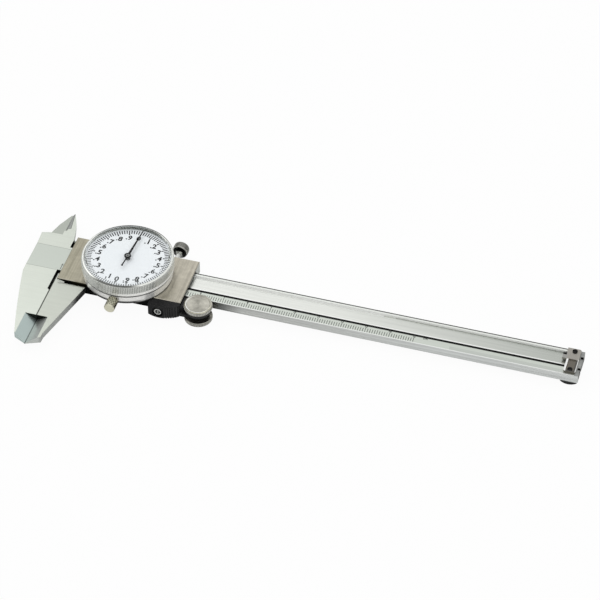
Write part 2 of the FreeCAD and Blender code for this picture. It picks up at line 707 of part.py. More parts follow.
rod = new_body("depth_rod")
rod_low = back + s.rod_groove_depth - 0.15
rod_sketch = outline(sketch_on(rod, "XY_Plane", rod_low), [
    (rod_head_from, -s.rod_width / 2),
    (s.beam_reach - 3.5, -s.rod_width / 2),
    (s.beam_reach, -0.5),
    (s.beam_reach, s.rod_width / 2),
    (rod_head_from, s.rod_width / 2),
])
pad(rod, rod_sketch, s.rod_thick, reverse=True)
rod_head = outline(
    sketch_on(rod, "XY_Plane", rod_low),
    box_points(rod_head_from, -s.rod_width / 2,
               rod_head_from + s.rod_head_length, s.rod_width / 2))
pad(rod, rod_head, rod_low - wall_back, reverse=True)
rod_hole = sketch_on(rod, "XY_Plane", wall_back)
ring(rod_hole, rod_screw_x, 0, s.small_screw + s.thread_gap)
pocket(rod, rod_hole, 1.5, reverse=True)

# Lock screw on the upper edge, bezel clamp under the dial.
lock = new_body("lock_screw")
lock_shank = s.small_screw + 0.3
lock_seat = s.slider_high - s.gib_thick - s.slide_gap - 0.05
turned(lock, [
    (0, -lock_seat),
    (lock_shank - 0.2, -lock_seat),
    (lock_shank, 0.2 - lock_seat),
    (lock_shank, s.lock_stand - 0.9),
    (1.9, s.lock_stand - 0.9),
    (1.9, s.lock_stand),
    (s.lock_head_radius - 0.25, s.lock_stand),
    (s.lock_head_radius, s.lock_stand + 0.25),
    (s.lock_head_radius, s.lock_stand + s.lock_head_length - 0.3),
    (s.lock_head_radius - 0.3, s.lock_stand + s.lock_head_length),
    (0, s.lock_stand + s.lock_head_length),
])
place(lock, lock_x, slider_top, lock_z, UP_Y)

clamp_z = plate + 1.75
clamp_start = bezel_radius + s.clamp_gap
clamp = new_body("bezel_clamp_screw")
turned(clamp, [
    (0, s.housing_radius - s.housing_wall + 0.1),
    (0.85, s.housing_radius - s.housing_wall + 0.1),
    (0.85, s.housing_radius + s.housing_ring + 0.15),
    (1.4, s.housing_radius + s.housing_ring + 0.15),
    (1.4, clamp_start),
    (s.clamp_radius - 0.2, clamp_start),
    (s.clamp_radius, clamp_start + 0.2),
    (s.clamp_radius, clamp_start + s.clamp_length - 0.3),
    (s.clamp_radius - 0.3, clamp_start + s.clamp_length),
    (0, clamp_start + s.clamp_length),
])
place(clamp, c_x, c_y, clamp_z, DOWN_Y)

# Drum, bezel, crystal and dial plate, all turned about the dial's centre.
shelf = plate + s.housing_height
bezel_bottom = shelf + s.bezel_gap
bezel_top = bezel_bottom + s.bezel_height
bezel_bore = bezel_radius - s.bezel_wall
neck_radius = bezel_bore - s.bezel_play
dial_top = bezel_top - s.dial_depth
dial_bottom = dial_top - s.dial_thick
lip_bottom = dial_bottom - 0.35
neck_top = shelf + s.neck_height
inside = s.housing_radius - s.housing_wall
floor_top = plate + s.housing_floor

housing = new_body("dial_housing")
turned(housing, [
    (0, plate),
    (s.housing_radius, plate),
    (s.housing_radius, plate + s.housing_height * 0.26),
    (s.housing_radius - 0.35, plate + s.housing_height * 0.30),
    (s.housing_radius - 0.35, plate + s.housing_height * 0.36),
    (s.housing_radius + s.housing_ring, plate + s.housing_height * 0.41),
    (s.housing_radius + s.housing_ring, plate + s.housing_height * 0.63),
    (s.housing_radius + s.housing_ring - 0.5, plate + s.housing_height * 0.66),
    (s.housing_radius + s.housing_ring - 0.5, plate + s.housing_height * 0.73),
    (s.housing_radius + s.housing_ring, plate + s.housing_height * 0.76),
    (s.housing_radius + s.housing_ring, shelf),
    (neck_radius, shelf),
    (neck_radius, neck_top),
    (inside, neck_top),
    (inside, floor_top),
    (0, floor_top),
])
bearing = sketch_on(housing, "XY_Plane", floor_top)
ring(bearing, a_x - c_x, a_y - c_y, s.arbor_radius + s.pivot_play)
for spot in housing_spots:
    ring(bearing, spot[0] - c_x, spot[1] - c_y, s.small_screw + s.thread_gap)
pocket(housing, bearing, s.housing_floor + 1)
pivots = sketch_on(housing, "XY_Plane", floor_top)
ring(pivots, b_x - c_x, b_y - c_y, s.arbor_radius + s.pivot_play)
ring(pivots, 0, 0, s.arbor_radius + s.pivot_play)
pocket(housing, pivots, s.housing_floor * 0.75)
clamp_hole = sketch_on(housing, "XZ_Plane")
ring(clamp_hole, 0, clamp_z, 0.85 + s.thread_gap)
pocket(housing, clamp_hole, s.housing_radius + 2, reverse=True)
place(housing, c_x, c_y)
for index, spot in enumerate(housing_spots, start=1):
    place(screw("housing_screw_%d" % index, s.small_head, 0.5, s.small_screw,
                s.housing_floor + 1.0), spot[0], spot[1], floor_top)

bezel = new_body("bezel")
crystal_bottom = bezel_top - s.crystal_lip - s.crystal_thick
turned(bezel, [
    (bezel_bore, bezel_bottom),
    (bezel_radius - 0.25, bezel_bottom),
    (bezel_radius, bezel_bottom + 0.25),
    (bezel_radius, bezel_top - 0.45),
    ("arc", bezel_radius - 0.13, bezel_top - 0.13),
    (bezel_radius - 0.45, bezel_top),
    (bezel_bore + 0.2, bezel_top),
    (bezel_bore, bezel_top - 0.12),
    (bezel_bore, bezel_top - s.crystal_lip),
    (bezel_bore + 0.35, bezel_top - s.crystal_lip),
    (bezel_bore + 0.35, crystal_bottom),
    (bezel_bore, crystal_bottom),
    (bezel_bore, dial_bottom),
    (bezel_bore - s.bezel_seat, dial_bottom),
    (bezel_bore - s.bezel_seat, lip_bottom),
    (bezel_bore, lip_bottom),
])
place(bezel, c_x, c_y)
crystal = new_body("crystal")
crystal_inner = bezel_top + s.crystal_rise
turned(crystal, [
    (0, crystal_inner),
    (bezel_bore - 1.0, crystal_inner),
    (bezel_bore - 0.6, crystal_bottom),
    (bezel_bore + 0.3, crystal_bottom),
    (bezel_bore + 0.3, crystal_bottom + s.crystal_thick),
    (bezel_bore - 0.1, crystal_bottom + s.crystal_thick),
    (bezel_bore - 0.4, crystal_inner + s.crystal_thick * 0.4),
    ("arc", bezel_bore - 0.6, crystal_inner + s.crystal_thick * 0.8),
    (bezel_bore - 1.1, crystal_inner + s.crystal_thick),
    (0, crystal_inner + s.crystal_thick),
])
place(crystal, c_x, c_y)
dial_plate = new_body("dial_plate")
turned(dial_plate, [
    (1.0, dial_bottom),
    (bezel_bore - 0.05, dial_bottom),
    (bezel_bore - 0.05, dial_top),
    (1.0, dial_top),
])
place(dial_plate, c_x, c_y)

# Bridge on three posts.
bridge_low = plate + s.bridge_rise
bridge_x = c_x + 3.0
bridge_y = c_y + 1.9
bridge = new_body("bridge")
ring_sketch = ring(sketch_on(bridge, "XY_Plane", bridge_low), bridge_x, bridge_y,
                   s.bridge_radius)
pad(bridge, ring_sketch, s.bridge_thick)
post_spots = []
for angle in (180, 75, -75):
    post_spots.append((bridge_x + s.post_circle * math.cos(math.radians(angle)),
                       bridge_y + s.post_circle * math.sin(math.radians(angle))))
bridge_holes = sketch_on(bridge, "XY_Plane", bridge_low)
for spot in ((a_x, a_y), (b_x, b_y), (c_x, c_y)):
    ring(bridge_holes, spot[0], spot[1], s.arbor_radius + s.pivot_play)
for spot in post_spots:
    ring(bridge_holes, spot[0], spot[1], 0.5 + s.thread_gap)
pocket(bridge, bridge_holes, s.bridge_thick + 1, reverse=True)
for index, spot in enumerate(post_spots, start=1):
    post = new_body("bridge_post_%d" % index)
    pad(post, ring(sketch_on(post, "XY_Plane", floor_top), spot[0], spot[1],
                   s.post_radius), bridge_low - floor_top)
    tapped = ring(sketch_on(post, "XY_Plane", bridge_low), spot[0], spot[1],
                  0.5 + s.thread_gap)
    pocket(post, tapped, 1.6)
    place(screw("bridge_screw_%d" % index, 0.95, 0.45, 0.5, s.bridge_thick + 1.4),
          spot[0], spot[1], bridge_low + s.bridge_thick)


def toothed(teeth, module, tip_share, root_share, thickness_share, phase):
    """Closed polygon of straight-flanked teeth round the origin; one tooth points at phase."""
    pitch_radius_here = teeth * module / 2
    tip = pitch_radius_here + module * tip_share
    foot = pitch_radius_here - module * root_share
    step = 2 * math.pi / teeth
    tip_half = step * thickness_share * 0.28
    foot_half = step * thickness_share * 0.78
    points = []
    for tooth in range(teeth):
        centre = phase + tooth * step
        for radius, angle in ((foot, -foot_half), (tip, -tip_half),
                              (tip, tip_half), (foot, foot_half)):
            points.append(Vector(radius * math.cos(centre + angle),
                                 radius * math.sin(centre + angle), 0))
    points.append(points[0])
    return Part.Face(Part.makePolygon(points))


def new_feature(label, shape, x, y, z):
    """Sub-part whose shape is computed from the sheet's values."""
    feature = doc.addObject("Part::Feature", label)
    feature.Label = label
    feature.Shape = shape
    for axis, amount in (("x", x), ("y", y), ("z", z)):
        feature.setExpression("Placement.Base." + axis, wording(amount))
    nodes.append(feature)
    return feature


def rod_along_z(radius, low_z, high_z):
    return Part.makeCylinder(radius, high_z - low_z, Vector(0, 0, low_z))


TIP = 0.8
FOOT = 1.15
SHARE = 0.46
angle_ab = math.atan2((b_y - a_y).value, (b_x - a_x).value)
angle_bc = math.atan2((c_y - b_y).value, (c_x - b_x).value)
half_b = math.pi / pinion_b_teeth
half_c = math.pi / pinion_c_teeth
arbor = s.arbor_radius.value
play = s.pivot_play.value
wheel_thick = s.wheel_thick.value
floor_z = floor_top.value
bridge_z = bridge_low.value
bridge_end = (bridge_low + s.bridge_thick).value
module = s.wheel_module.value
wheel_a_z = floor_top + 0.8
takeup_z = wheel_a_z + s.wheel_thick + 0.1
spring_z = takeup_z + s.wheel_thick
wheel_b_z = spring_z + 0.9

# Rack: its teeth face the recess and line up with the pinion's arbor.
rack_left = s.recess_from.value + 0.2
rack_right = recess_last.value - 0.2
pitch = rack_pitch.value
rack_tip = rack_front.value - (1 - TIP) * rack_module.value
rack_root = rack_front.value - rack_module.value * (1 + FOOT)
rack_back = land_top.value
teeth_first = math.ceil((s.rack_teeth_from.value - a_x.value) / pitch) + 0.5
teeth_last = math.floor(((s.beam_reach - s.rack_teeth_end).value - a_x.value) / pitch) - 0.5
rack_points = [Vector(rack_right, rack_back, 0), Vector(rack_right, rack_root, 0)]
tooth = teeth_last
while tooth >= teeth_first:
    centre = a_x.value + tooth * pitch
    for shift, y in ((0.36 * pitch, rack_root), (0.13 * pitch, rack_tip),
                     (-0.13 * pitch, rack_tip), (-0.36 * pitch, rack_root)):
        rack_points.append(Vector(centre + shift, y, 0))
    tooth -= 1
rack_points += [Vector(rack_left, rack_root, 0), Vector(rack_left, rack_back, 0)]
rack_points.append(rack_points[0])
rack_face = Part.Face(Part.makePolygon(rack_points))
new_feature("rack_strip", rack_face.extrude(Vector(0, 0, s.rack_thick.value)),
            0, 0, -s.rack_sink - s.rack_thick)

# Rack pinion on its arbor; the main wheel and its sprung half beside it.
pinion_low = -s.recess_depth.value + 0.1
pinion_high = -s.rack_sink.value + 0.3
pinion_face = toothed(pinion_teeth, rack_module.value, TIP, FOOT, SHARE, -math.pi / 2)
pinion_face.translate(Vector(0, 0, pinion_low))
rack_pinion = pinion_face.extrude(Vector(0, 0, pinion_high - pinion_low))
rack_pinion = rack_pinion.fuse(rod_along_z(arbor, pinion_low, bridge_end - 0.05))
new_feature("rack_pinion", rack_pinion.removeSplitter(), a_x, a_y, 0)


def wheel(teeth, phase, bore):
    disc = toothed(teeth, module, TIP, FOOT, SHARE, phase)
    disc = disc.extrude(Vector(0, 0, wheel_thick))
    foot_radius = teeth * module / 2 - module * FOOT
    disc = disc.cut(rod_along_z(bore, -1, 2))
    web = foot_radius * 0.62
    spare = foot_radius - 0.55 - web
    for spoke in range(5):
        hole = rod_along_z(spare * 0.5 + 0.35, -1, 2)
        turn = 2 * math.pi * (spoke + 0.5) / 5
        hole.translate(Vector(web * math.cos(turn), web * math.sin(turn), 0))
        disc = disc.cut(hole)
    return disc


new_feature("main_wheel", wheel(wheel_a_teeth, angle_ab, arbor), a_x, a_y, wheel_a_z)
new_feature("takeup_wheel", wheel(wheel_a_teeth, angle_ab, arbor), a_x, a_y, takeup_z)
spring_outer = rod_along_z(2.3, 0, 0.3).cut(rod_along_z(1.9, -1, 1))
spring_mouth = Part.makeBox(3, 1.0, 1, Vector(0.5, -0.5, -0.3))
takeup_spring = spring_outer.cut(spring_mouth)
new_feature("takeup_spring", takeup_spring, a_x, a_y, spring_z)

# Intermediate arbor: its pinion meets both halves of the main wheel.
pinion_b = toothed(pinion_b_teeth, module, TIP, FOOT, SHARE, angle_ab + math.pi + half_b)
pinion_b.translate(Vector(0, 0, (wheel_a_z - 0.2).value))
pinion_b = pinion_b.extrude(Vector(0, 0, (spring_z - wheel_a_z + 0.4).value))
pivot_low = floor_z - 0.55 * s.housing_floor.value
pinion_b = pinion_b.fuse(rod_along_z(arbor, pivot_low, bridge_end - 0.05))
new_feature("intermediate_pinion", pinion_b.removeSplitter(), b_x, b_y, 0)
new_feature("intermediate_wheel", wheel(wheel_b_teeth, angle_bc, arbor),
            b_x, b_y, wheel_b_z)

# Pointer arbor: through the bridge and the dial plate.
pinion_c = toothed(pinion_c_teeth, module, TIP, FOOT, SHARE, angle_bc + math.pi + half_c)
pinion_c.translate(Vector(0, 0, (wheel_b_z - 0.2).value))
pinion_c = pinion_c.extrude(Vector(0, 0, wheel_thick + 0.4))
pointer_low = dial_top + s.pointer_gap
pinion_c = pinion_c.fuse(rod_along_z(arbor, pivot_low, pointer_low.value + 0.25))
new_feature("pointer_arbor", pinion_c.removeSplitter(), c_x, c_y, 0)

pointer = new_body("pointer")
pointer_sketch = outline(sketch_on(pointer, "XY_Plane", pointer_low), [
    (-0.18, s.pointer_length),
    (-0.5, s.pointer_hub * 0.9),
    (-0.24, -s.pointer_hub * 0.9),
    (-0.24, -s.pointer_tail + 0.9),
    (-0.42, -s.pointer_tail + 0.4),
    (-0.25, -s.pointer_tail),
    (0.25, -s.pointer_tail),
    (0.42, -s.pointer_tail + 0.4),
    (0.24, -s.pointer_tail + 0.9),
    (0.24, -s.pointer_hub * 0.9),
    (0.5, s.pointer_hub * 0.9),
    (0.18, s.pointer_length),
])
pad(pointer, pointer_sketch, 0.15)
hub_sketch = ring(sketch_on(pointer, "XY_Plane", pointer_low), 0, 0, s.pointer_hub)
pad(pointer, hub_sketch, 0.5)
boss_sketch = ring(sketch_on(pointer, "XY_Plane", pointer_low), 0, 0, s.pointer_boss)
pad(pointer, boss_sketch, s.pointer_boss_drop, reverse=True)
hub_bore = ring(sketch_on(pointer, "XY_Plane", pointer_low - s.pointer_boss_drop), 0, 0,
                s.arbor_radius)
pocket(pointer, hub_bore, s.pointer_boss_drop + 0.3, reverse=True)
place(pointer, c_x, c_y, turn=Rotation(Vector(0, 0, 1), -s.pointer_angle.value))

# Thumb block with the arm that carries the roller.
block_to = block_from + s.block_length
block_top = plate - s.block_drop
block_low = block_top - s.block_tall
block_front = slider_bottom - s.block_depth
roller_y = low + s.roller_grip - s.roller_radius
arm_low = back + 0.1
thumb = new_body("thumb_block")
thumb_sketch = outline(sketch_on(thumb, "XY_Plane", block_top), [
    (block_from, slider_bottom),
    (block_from, block_front),
    ("arc", block_from + s.block_length * 0.42, block_front - s.block_bulge),
    (block_to - 0.3, block_front + s.block_taper),
    (block_to, block_front + s.block_taper + 0.4),
    (block_to, slider_bottom),
])
pad(thumb, thumb_sketch, s.block_tall, reverse=True)
flange_left = roller_x - s.roller_radius
lug = outline(sketch_on(thumb, "XY_Plane", 0.6), [
    (block_to - 0.5, slider_bottom - 0.3),
    (block_to - 0.5, block_front + s.block_taper + 0.9),
    (flange_left - 0.3 + 0.25, block_front + s.block_taper + 1.3),
    (flange_left - 0.3, roller_y),
    (flange_left - 0.3 + 0.25, roller_y + 2.0),
    (flange_left + 0.5, low - 1.5),
    (slider_right + 0.15, low - 1.5),
    (slider_right + 0.15, slider_bottom - 0.3),
])
pad(thumb, lug, 0.6 - block_low, reverse=True)
arm = outline(sketch_on(thumb, "XY_Plane", arm_low), [
    (block_to, roller_y - s.arm_radius),
    (roller_x, roller_y - s.arm_radius),
    ("arc", roller_x + s.arm_radius, roller_y),
    (roller_x, roller_y + s.arm_radius),
    (block_to + 0.6, roller_y + s.arm_radius),
])
pad(thumb, arm, s.arm_thick)
bore = ring(sketch_on(thumb, "XY_Plane", arm_low), roller_x, roller_y,
            s.spindle_radius + s.spindle_play)
pocket(thumb, bore, s.arm_thick + 1, reverse=True)
seat_y = block_front - s.block_bulge * 0.95 + s.counterbore_depth
counter = ring(sketch_on(thumb, "XZ_Plane", -(block_front - 3)), block_screw_x,
               block_screw_z, s.counterbore)
pocket(thumb, counter, seat_y - (block_front - 3))
through = ring(sketch_on(thumb, "XZ_Plane", -(block_front - 3)), block_screw_x,
               block_screw_z, 1.0 + s.thread_gap)
pocket(thumb, through, s.block_depth + 4)
rib_start = block_screw_x + s.counterbore + 0.5
ribs = sketch_on(thumb, "XY_Plane", block_top)
for index in range(7):
    x = rib_start + s.rib_pitch * index
    share = (index + 0.2) / 7
    y = block_front - s.block_bulge * (1 - share) * 0.86 + s.block_taper * share * 0.78
    outline(ribs, box_points(x, y - 2.0, x + s.rib_width, y + s.rib_depth))
pocket(thumb, ribs, s.block_tall)
place(screw("thumb_block_screw", s.block_screw_head, 0.6, 1.0,
            slider_bottom - seat_y + 3.5, slots=2),
      block_screw_x, seat_y, block_screw_z, DOWN_Y)

# Roller: upper flange with its spindle, drive ring, lower flange.
ring_radius = low - s.ring_gap - roller_y
knob = new_body("roller_knob")
knob_top = s.roller_gap + s.roller_top
flange_low = back - s.roller_gap
turned(knob, [
    (0, flange_low - s.roller_low),
    (s.spindle_radius, flange_low - s.roller_low),
    (s.spindle_radius, s.roller_gap),
    (s.roller_radius - 0.15, s.roller_gap),
    (s.roller_radius, s.roller_gap + 0.15),
    (s.roller_radius, knob_top - 0.2),
    (s.roller_radius - 0.2, knob_top),
    (s.roller_radius - 0.75, knob_top),
    (s.roller_radius - 1.0, knob_top - 0.2),
    (0, knob_top - 0.2),
])
place(knob, roller_x, roller_y)
drive = new_body("drive_ring")
turned(drive, [
    (s.spindle_radius, s.roller_gap - s.ring_height),
    (ring_radius, s.roller_gap - s.ring_height),
    (ring_radius, s.roller_gap),
    (s.spindle_radius, s.roller_gap),
])
place(drive, roller_x, roller_y)
under = new_body("roller_lower_flange")
turned(under, [
    (s.spindle_radius, flange_low - s.roller_low),
    (s.roller_radius - 0.2, flange_low - s.roller_low),
    (s.roller_radius, flange_low - s.roller_low + 0.2),
    (s.roller_radius, flange_low - 0.15),
    (s.roller_radius - 0.15, flange_low),
    (s.spindle_radius, flange_low),
])
place(under, roller_x, roller_y)

doc.recompute()
failed = []
for item in doc.Objects:
    if "Invalid" in item.State or "Error" in item.State:
        failed.append(item.Name)
for item in nodes:
    if item.Shape.isNull() or not item.Shape.isValid() or len(item.Shape.Solids) != 1:
        failed.append(item.Label)
if failed:
    raise RuntimeError("Not built: " + ", ".join(failed))

os.makedirs("parts", exist_ok=True)
for item in nodes:
    item.Shape.exportStep(os.path.join("parts", item.Label + ".step"))
print(len(nodes), "nodes written")
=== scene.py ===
"""Dial caliper: graduations, figures, knurling, finishes and studio around the CAD model."""

import json
import math

import bmesh
import bpy
from bpy.props import FloatProperty, FloatVectorProperty, IntProperty, PointerProperty
from mathutils import Matrix, Vector


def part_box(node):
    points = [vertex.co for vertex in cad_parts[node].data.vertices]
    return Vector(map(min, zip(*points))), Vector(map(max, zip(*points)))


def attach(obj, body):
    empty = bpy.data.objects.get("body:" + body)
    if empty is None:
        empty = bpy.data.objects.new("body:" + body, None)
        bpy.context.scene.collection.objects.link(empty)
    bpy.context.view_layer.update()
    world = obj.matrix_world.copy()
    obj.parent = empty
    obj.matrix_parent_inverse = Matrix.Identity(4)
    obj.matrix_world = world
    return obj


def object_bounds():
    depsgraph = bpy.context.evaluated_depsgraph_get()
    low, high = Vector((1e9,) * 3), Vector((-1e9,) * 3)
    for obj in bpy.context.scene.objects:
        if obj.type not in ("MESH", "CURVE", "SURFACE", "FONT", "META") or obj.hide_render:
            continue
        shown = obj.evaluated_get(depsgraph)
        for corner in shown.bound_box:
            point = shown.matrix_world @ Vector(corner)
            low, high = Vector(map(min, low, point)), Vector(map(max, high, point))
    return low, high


bl_info = {
    "name": "Dial Caliper",
    "version": (1, 0, 0),
    "blender": (4, 5, 0),
    "location": "View3D > Sidebar > Caliper",
    "description": "Graduations, knurling, finishes and studio for a dial caliper",
    "category": "Object",
}

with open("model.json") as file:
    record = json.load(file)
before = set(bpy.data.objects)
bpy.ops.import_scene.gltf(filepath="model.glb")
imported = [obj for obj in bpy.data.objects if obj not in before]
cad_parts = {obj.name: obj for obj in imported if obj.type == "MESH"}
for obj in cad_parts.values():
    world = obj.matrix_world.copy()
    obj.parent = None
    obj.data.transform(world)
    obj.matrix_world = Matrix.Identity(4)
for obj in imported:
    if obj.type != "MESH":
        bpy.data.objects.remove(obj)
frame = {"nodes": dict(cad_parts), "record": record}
CAD_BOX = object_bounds()
MM = 0.001

DIAL_LOW, DIAL_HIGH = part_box("dial_plate")
BEZEL_LOW, BEZEL_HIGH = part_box("bezel")
ROLLER_LOW, ROLLER_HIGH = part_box("roller_knob")
FLANGE_LOW, FLANGE_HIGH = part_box("roller_lower_flange")
LOCK_LOW, LOCK_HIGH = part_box("lock_screw")
CLAMP_LOW, CLAMP_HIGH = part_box("bezel_clamp_screw")
DRUM_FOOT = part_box("dial_housing")[0].z
POINTER_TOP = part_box("pointer")[1].z
DIAL_MIDDLE = (DIAL_LOW + DIAL_HIGH) / 2
ROLLER_MIDDLE = (FLANGE_LOW + FLANGE_HIGH) / 2
LOCK_MIDDLE = (LOCK_LOW + LOCK_HIGH) / 2
CLAMP_MIDDLE = (CLAMP_LOW + CLAMP_HIGH) / 2
BEZEL_RADIUS = (BEZEL_HIGH.x - BEZEL_LOW.x) / 2
ROLLER_RADIUS = (ROLLER_HIGH.x - ROLLER_LOW.x) / 2

# Edges of the jaws that the finishes follow, in millimetres.
KNIFE_WIDTH = 4.8
KNIFE_DEPTH = 2.7
JAW_BEVEL_TOP = -34.8
JAW_ROOT = -13.2
JAW_ROOT_WIDE = 13.7
JAW_TIP_TURN = -43.9
JAW_TIP_WIDE = 6.0

# The scale's figures and its unit: places and heights in metres, weights in their own size.
FIGURE_LINE = -3.63 * MM
FIGURE_WEIGHT = 0.03
UNIT_LINE = -3.72 * MM
UNIT_HEIGHT = 0.8 * MM
UNIT_WEIGHT = 0.012
UNIT_STEPS = 4.6
DIAL_FIGURE_WEIGHT = 0.032

# A knurling ridge: its foot as a share of the pitch, its crest as a share of the foot, and how
# far each end slopes as a share of its depth. The clamp's ridges are lower by their own share.
RIDGE_FOOT = 0.8
RIDGE_CREST = 0.3
RIDGE_SLOPE = 0.8
CLAMP_SHARE = 0.7

# Width of the dial's long lines past the short ones, as a share of the short line's width.
LONG_LINE_SHARE = 1.25

# Farther than any part reaches, in millimetres.
FAR = 500.0
MERGE_REACH = 1e-8
FLOOR_HALF = 6.0
SENSOR_WIDTH = 36.0

CAMERA_AIM = Vector((99.957, 3.829, 0.0)) * MM
LAMP_AIM = Vector((0.1, 0, 0))


def length(name, text, value):
    """A size in metres, shown as a length."""
    return FloatProperty(name=name, description=text, default=value, min=0.0,
                         unit="LENGTH", precision=5)


def number(name, text, value):
    """A whole number of things."""
    return IntProperty(name=name, description=text, default=value, min=1)


def degrees(name, text, value):
    """An angle, given in degrees."""
    return FloatProperty(name=name, description=text, subtype="ANGLE",
                         default=math.radians(value))


def colour(name, text, value):
    """A base colour, written as linear red, green and blue."""
    return FloatVectorProperty(name=name, description=text, subtype="COLOR", size=3,
                               min=0.0, max=1.0, default=value)


def screen(red, green, blue):
    """A screen colour, 0 to 255, as linear values."""
    return tuple(((part / 255 + 0.055) / 1.055) ** 2.4 if part > 10 else part / 3294
                 for part in (red, green, blue))


BLACK = screen(20, 21, 20)
WHITE = screen(252, 253, 251)


class CaliperScale(bpy.types.PropertyGroup):
    pitch: length("Pitch", "One graduation to the next", 1.0 * MM)
    reach: number("Graduations", "Spaces on the scale", 150)
    foot: length("Foot", "Graduations' lower end, below the beam's middle line", 6.7 * MM)
    short_line: length("Short line", "Length of a millimetre line", 2.2 * MM)
    half_line: length("Half line", "Length of each fifth line", 2.4 * MM)
    long_line: length("Long line", "Length of each tenth line", 2.6 * MM)
    line_width: length("Line width", "Width of an engraved line", 0.24 * MM)
    figure_height: length("Figure height", "Height of the scale's figures", 0.95 * MM)
    inlay: length("Inlay", "Paint above the face", 0.012 * MM)


class CaliperDial(bpy.types.PropertyGroup):
    divisions: number("Divisions", "Lines round the dial", 100)
    labels: number("Figures", "Figures round the dial", 20)
    outer_radius: length("Outer radius", "Lines' outer ends", 17.1 * MM)
    short_line: length("Short line", "Length of a division line", 2.0 * MM)
    long_line: length("Long line", "Length of a figured line", 2.8 * MM)
    line_width: length("Line width", "Width of a line", 0.44 * MM)
    figure_radius: length("Figure radius", "Figures' middles from the dial's middle", 12.7 * MM)
    figure_height: length("Figure height", "Height of a figure", 2.75 * MM)
    zero_turn: degrees("Zero turn", "Dial turned clockwise", 2.0)
    ink: length("Ink", "Print above the dial", 0.012 * MM)


class CaliperKnurls(bpy.types.PropertyGroup):
    bezel_ridges: number("Bezel ridges", "Ridges round the bezel", 168)
    roller_ridges: number("Roller ridges", "Ridges round the roller", 56)
    lock_ridges: number("Lock ridges", "Ridges round the lock screw", 40)
    clamp_ridges: number("Clamp ridges", "Ridges round the bezel clamp", 28)
    depth: length("Depth", "Height of a ridge", 0.18 * MM)


class CaliperDrum(bpy.types.PropertyGroup):
    inset: length("Inset", "Ring inside the bezel's edge", 0.35 * MM)
    gap: length("Gap", "Ring below the bezel", 0.35 * MM)
    lift: length("Lift", "Ring above the slider's face", 0.03 * MM)
    wall: length("Wall", "Ring, inside to outside", 1.6 * MM)
    bevel: length("Bevel", "Ring's upper edge", 0.25 * MM)
    sides: number("Sides", "Facets round the ring", 180)


class CaliperFinish(bpy.types.PropertyGroup):
    beam: colour("Beam", "Ground head and fixed jaw", screen(208, 213, 204))
    band: colour("Band", "Ground band across the head", screen(195, 201, 193))
    recess: colour("Recess", "Floor of the beam's recess", screen(235, 237, 232))
    # side is painted shade: the jaws' side walls as a darker copy of their ground steel.
    side: colour("Side", "Side walls of the jaws", screen(184, 187, 183))
    bevel: colour("Bevel", "Knife edge of the fixed jaw", screen(190, 204, 201))
    bevel_far: colour("Far bevel", "Knife edge of the movable jaw", screen(202, 206, 202))
    jaw: colour("Movable jaw", "Ground movable jaw", screen(194, 198, 189))
    arm: colour("Arm", "Movable inside jaw", screen(176, 181, 173))
    land: colour("Scale land", "Ground land that carries the scale", screen(212, 218, 210))
    # beam_side is the middle step of the painted light that grows along the beam's near side wall.
    beam_side: colour("Beam side", "Near side wall of the beam", screen(206, 208, 205))
    slider: colour("Slider", "Brushed slider plate, jaw end", screen(160, 156, 139))
    slider_far: colour("Slider, far", "Brushed slider plate, roller end", screen(187, 182, 168))
    plating: colour("Plating", "Bright plated bezel and housing", screen(236, 238, 233))
    nickel: colour("Nickel", "Roller and lock screw", screen(178, 176, 166))
    warm: colour("Warm nickel", "Bezel clamp", screen(220, 218, 197))
    dial: colour("Dial", "Dial's enamel", screen(246, 250, 252))
    ink: colour("Ink", "Printing and engraving", screen(9, 9, 10))
    block: colour("Block", "Black thumb block", screen(21, 21, 22))


class CaliperStudio(bpy.types.PropertyGroup):
    azimuth: degrees("Azimuth", "Camera round from the front", 15.749)
    elevation: degrees("Elevation", "Camera above the bench", 43.547)
    roll: degrees("Roll", "Camera tilt", 0.534)
    distance: length("Distance", "Camera from what it aims at", 1.1216)
    lens: FloatProperty(name="Lens", description="Focal length in mm", default=165.03)
    lamp: FloatProperty(name="Lamps", description="Strength of the soft lamps", default=1.0)


def piece(name, bm, body, material):
    """Turns a bmesh into a finished object that rides on a CAD body."""
    bmesh.ops.remove_doubles(bm, verts=bm.verts, dist=MERGE_REACH)
    bmesh.ops.recalc_face_normals(bm, faces=bm.faces)
    mesh = bpy.data.meshes.new(name)
    bm.to_mesh(mesh)
    bm.free()
    obj = bpy.data.objects.new(name, mesh)
    bpy.context.scene.collection.objects.link(obj)
    mesh.materials.append(material)
    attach(obj, body)


def bar(bm, low, high):
    """A plain bar between two corners, for an engraved or printed line."""
    low, high = Vector(low), Vector(high)
    size = high - low
    turn = Matrix.Translation((low + high) / 2) @ Matrix.Diagonal((*size, 1.0))
    return bmesh.ops.create_cube(bm, size=1.0, matrix=turn)["verts"]


def repeat(bm, verts, centre, axis, count):
    """Copies a form round an axis until the circle is full."""
    faces = {face for vert in verts for face in vert.link_faces}
    edges = {edge for vert in verts for edge in vert.link_edges}
    bmesh.ops.spin(bm, geom=list(verts) + list(edges) + list(faces), cent=centre, axis=axis,
                   dvec=(0, 0, 0), angle=2 * math.pi * (count - 1) / count,
                   steps=count - 1, use_duplicate=True)


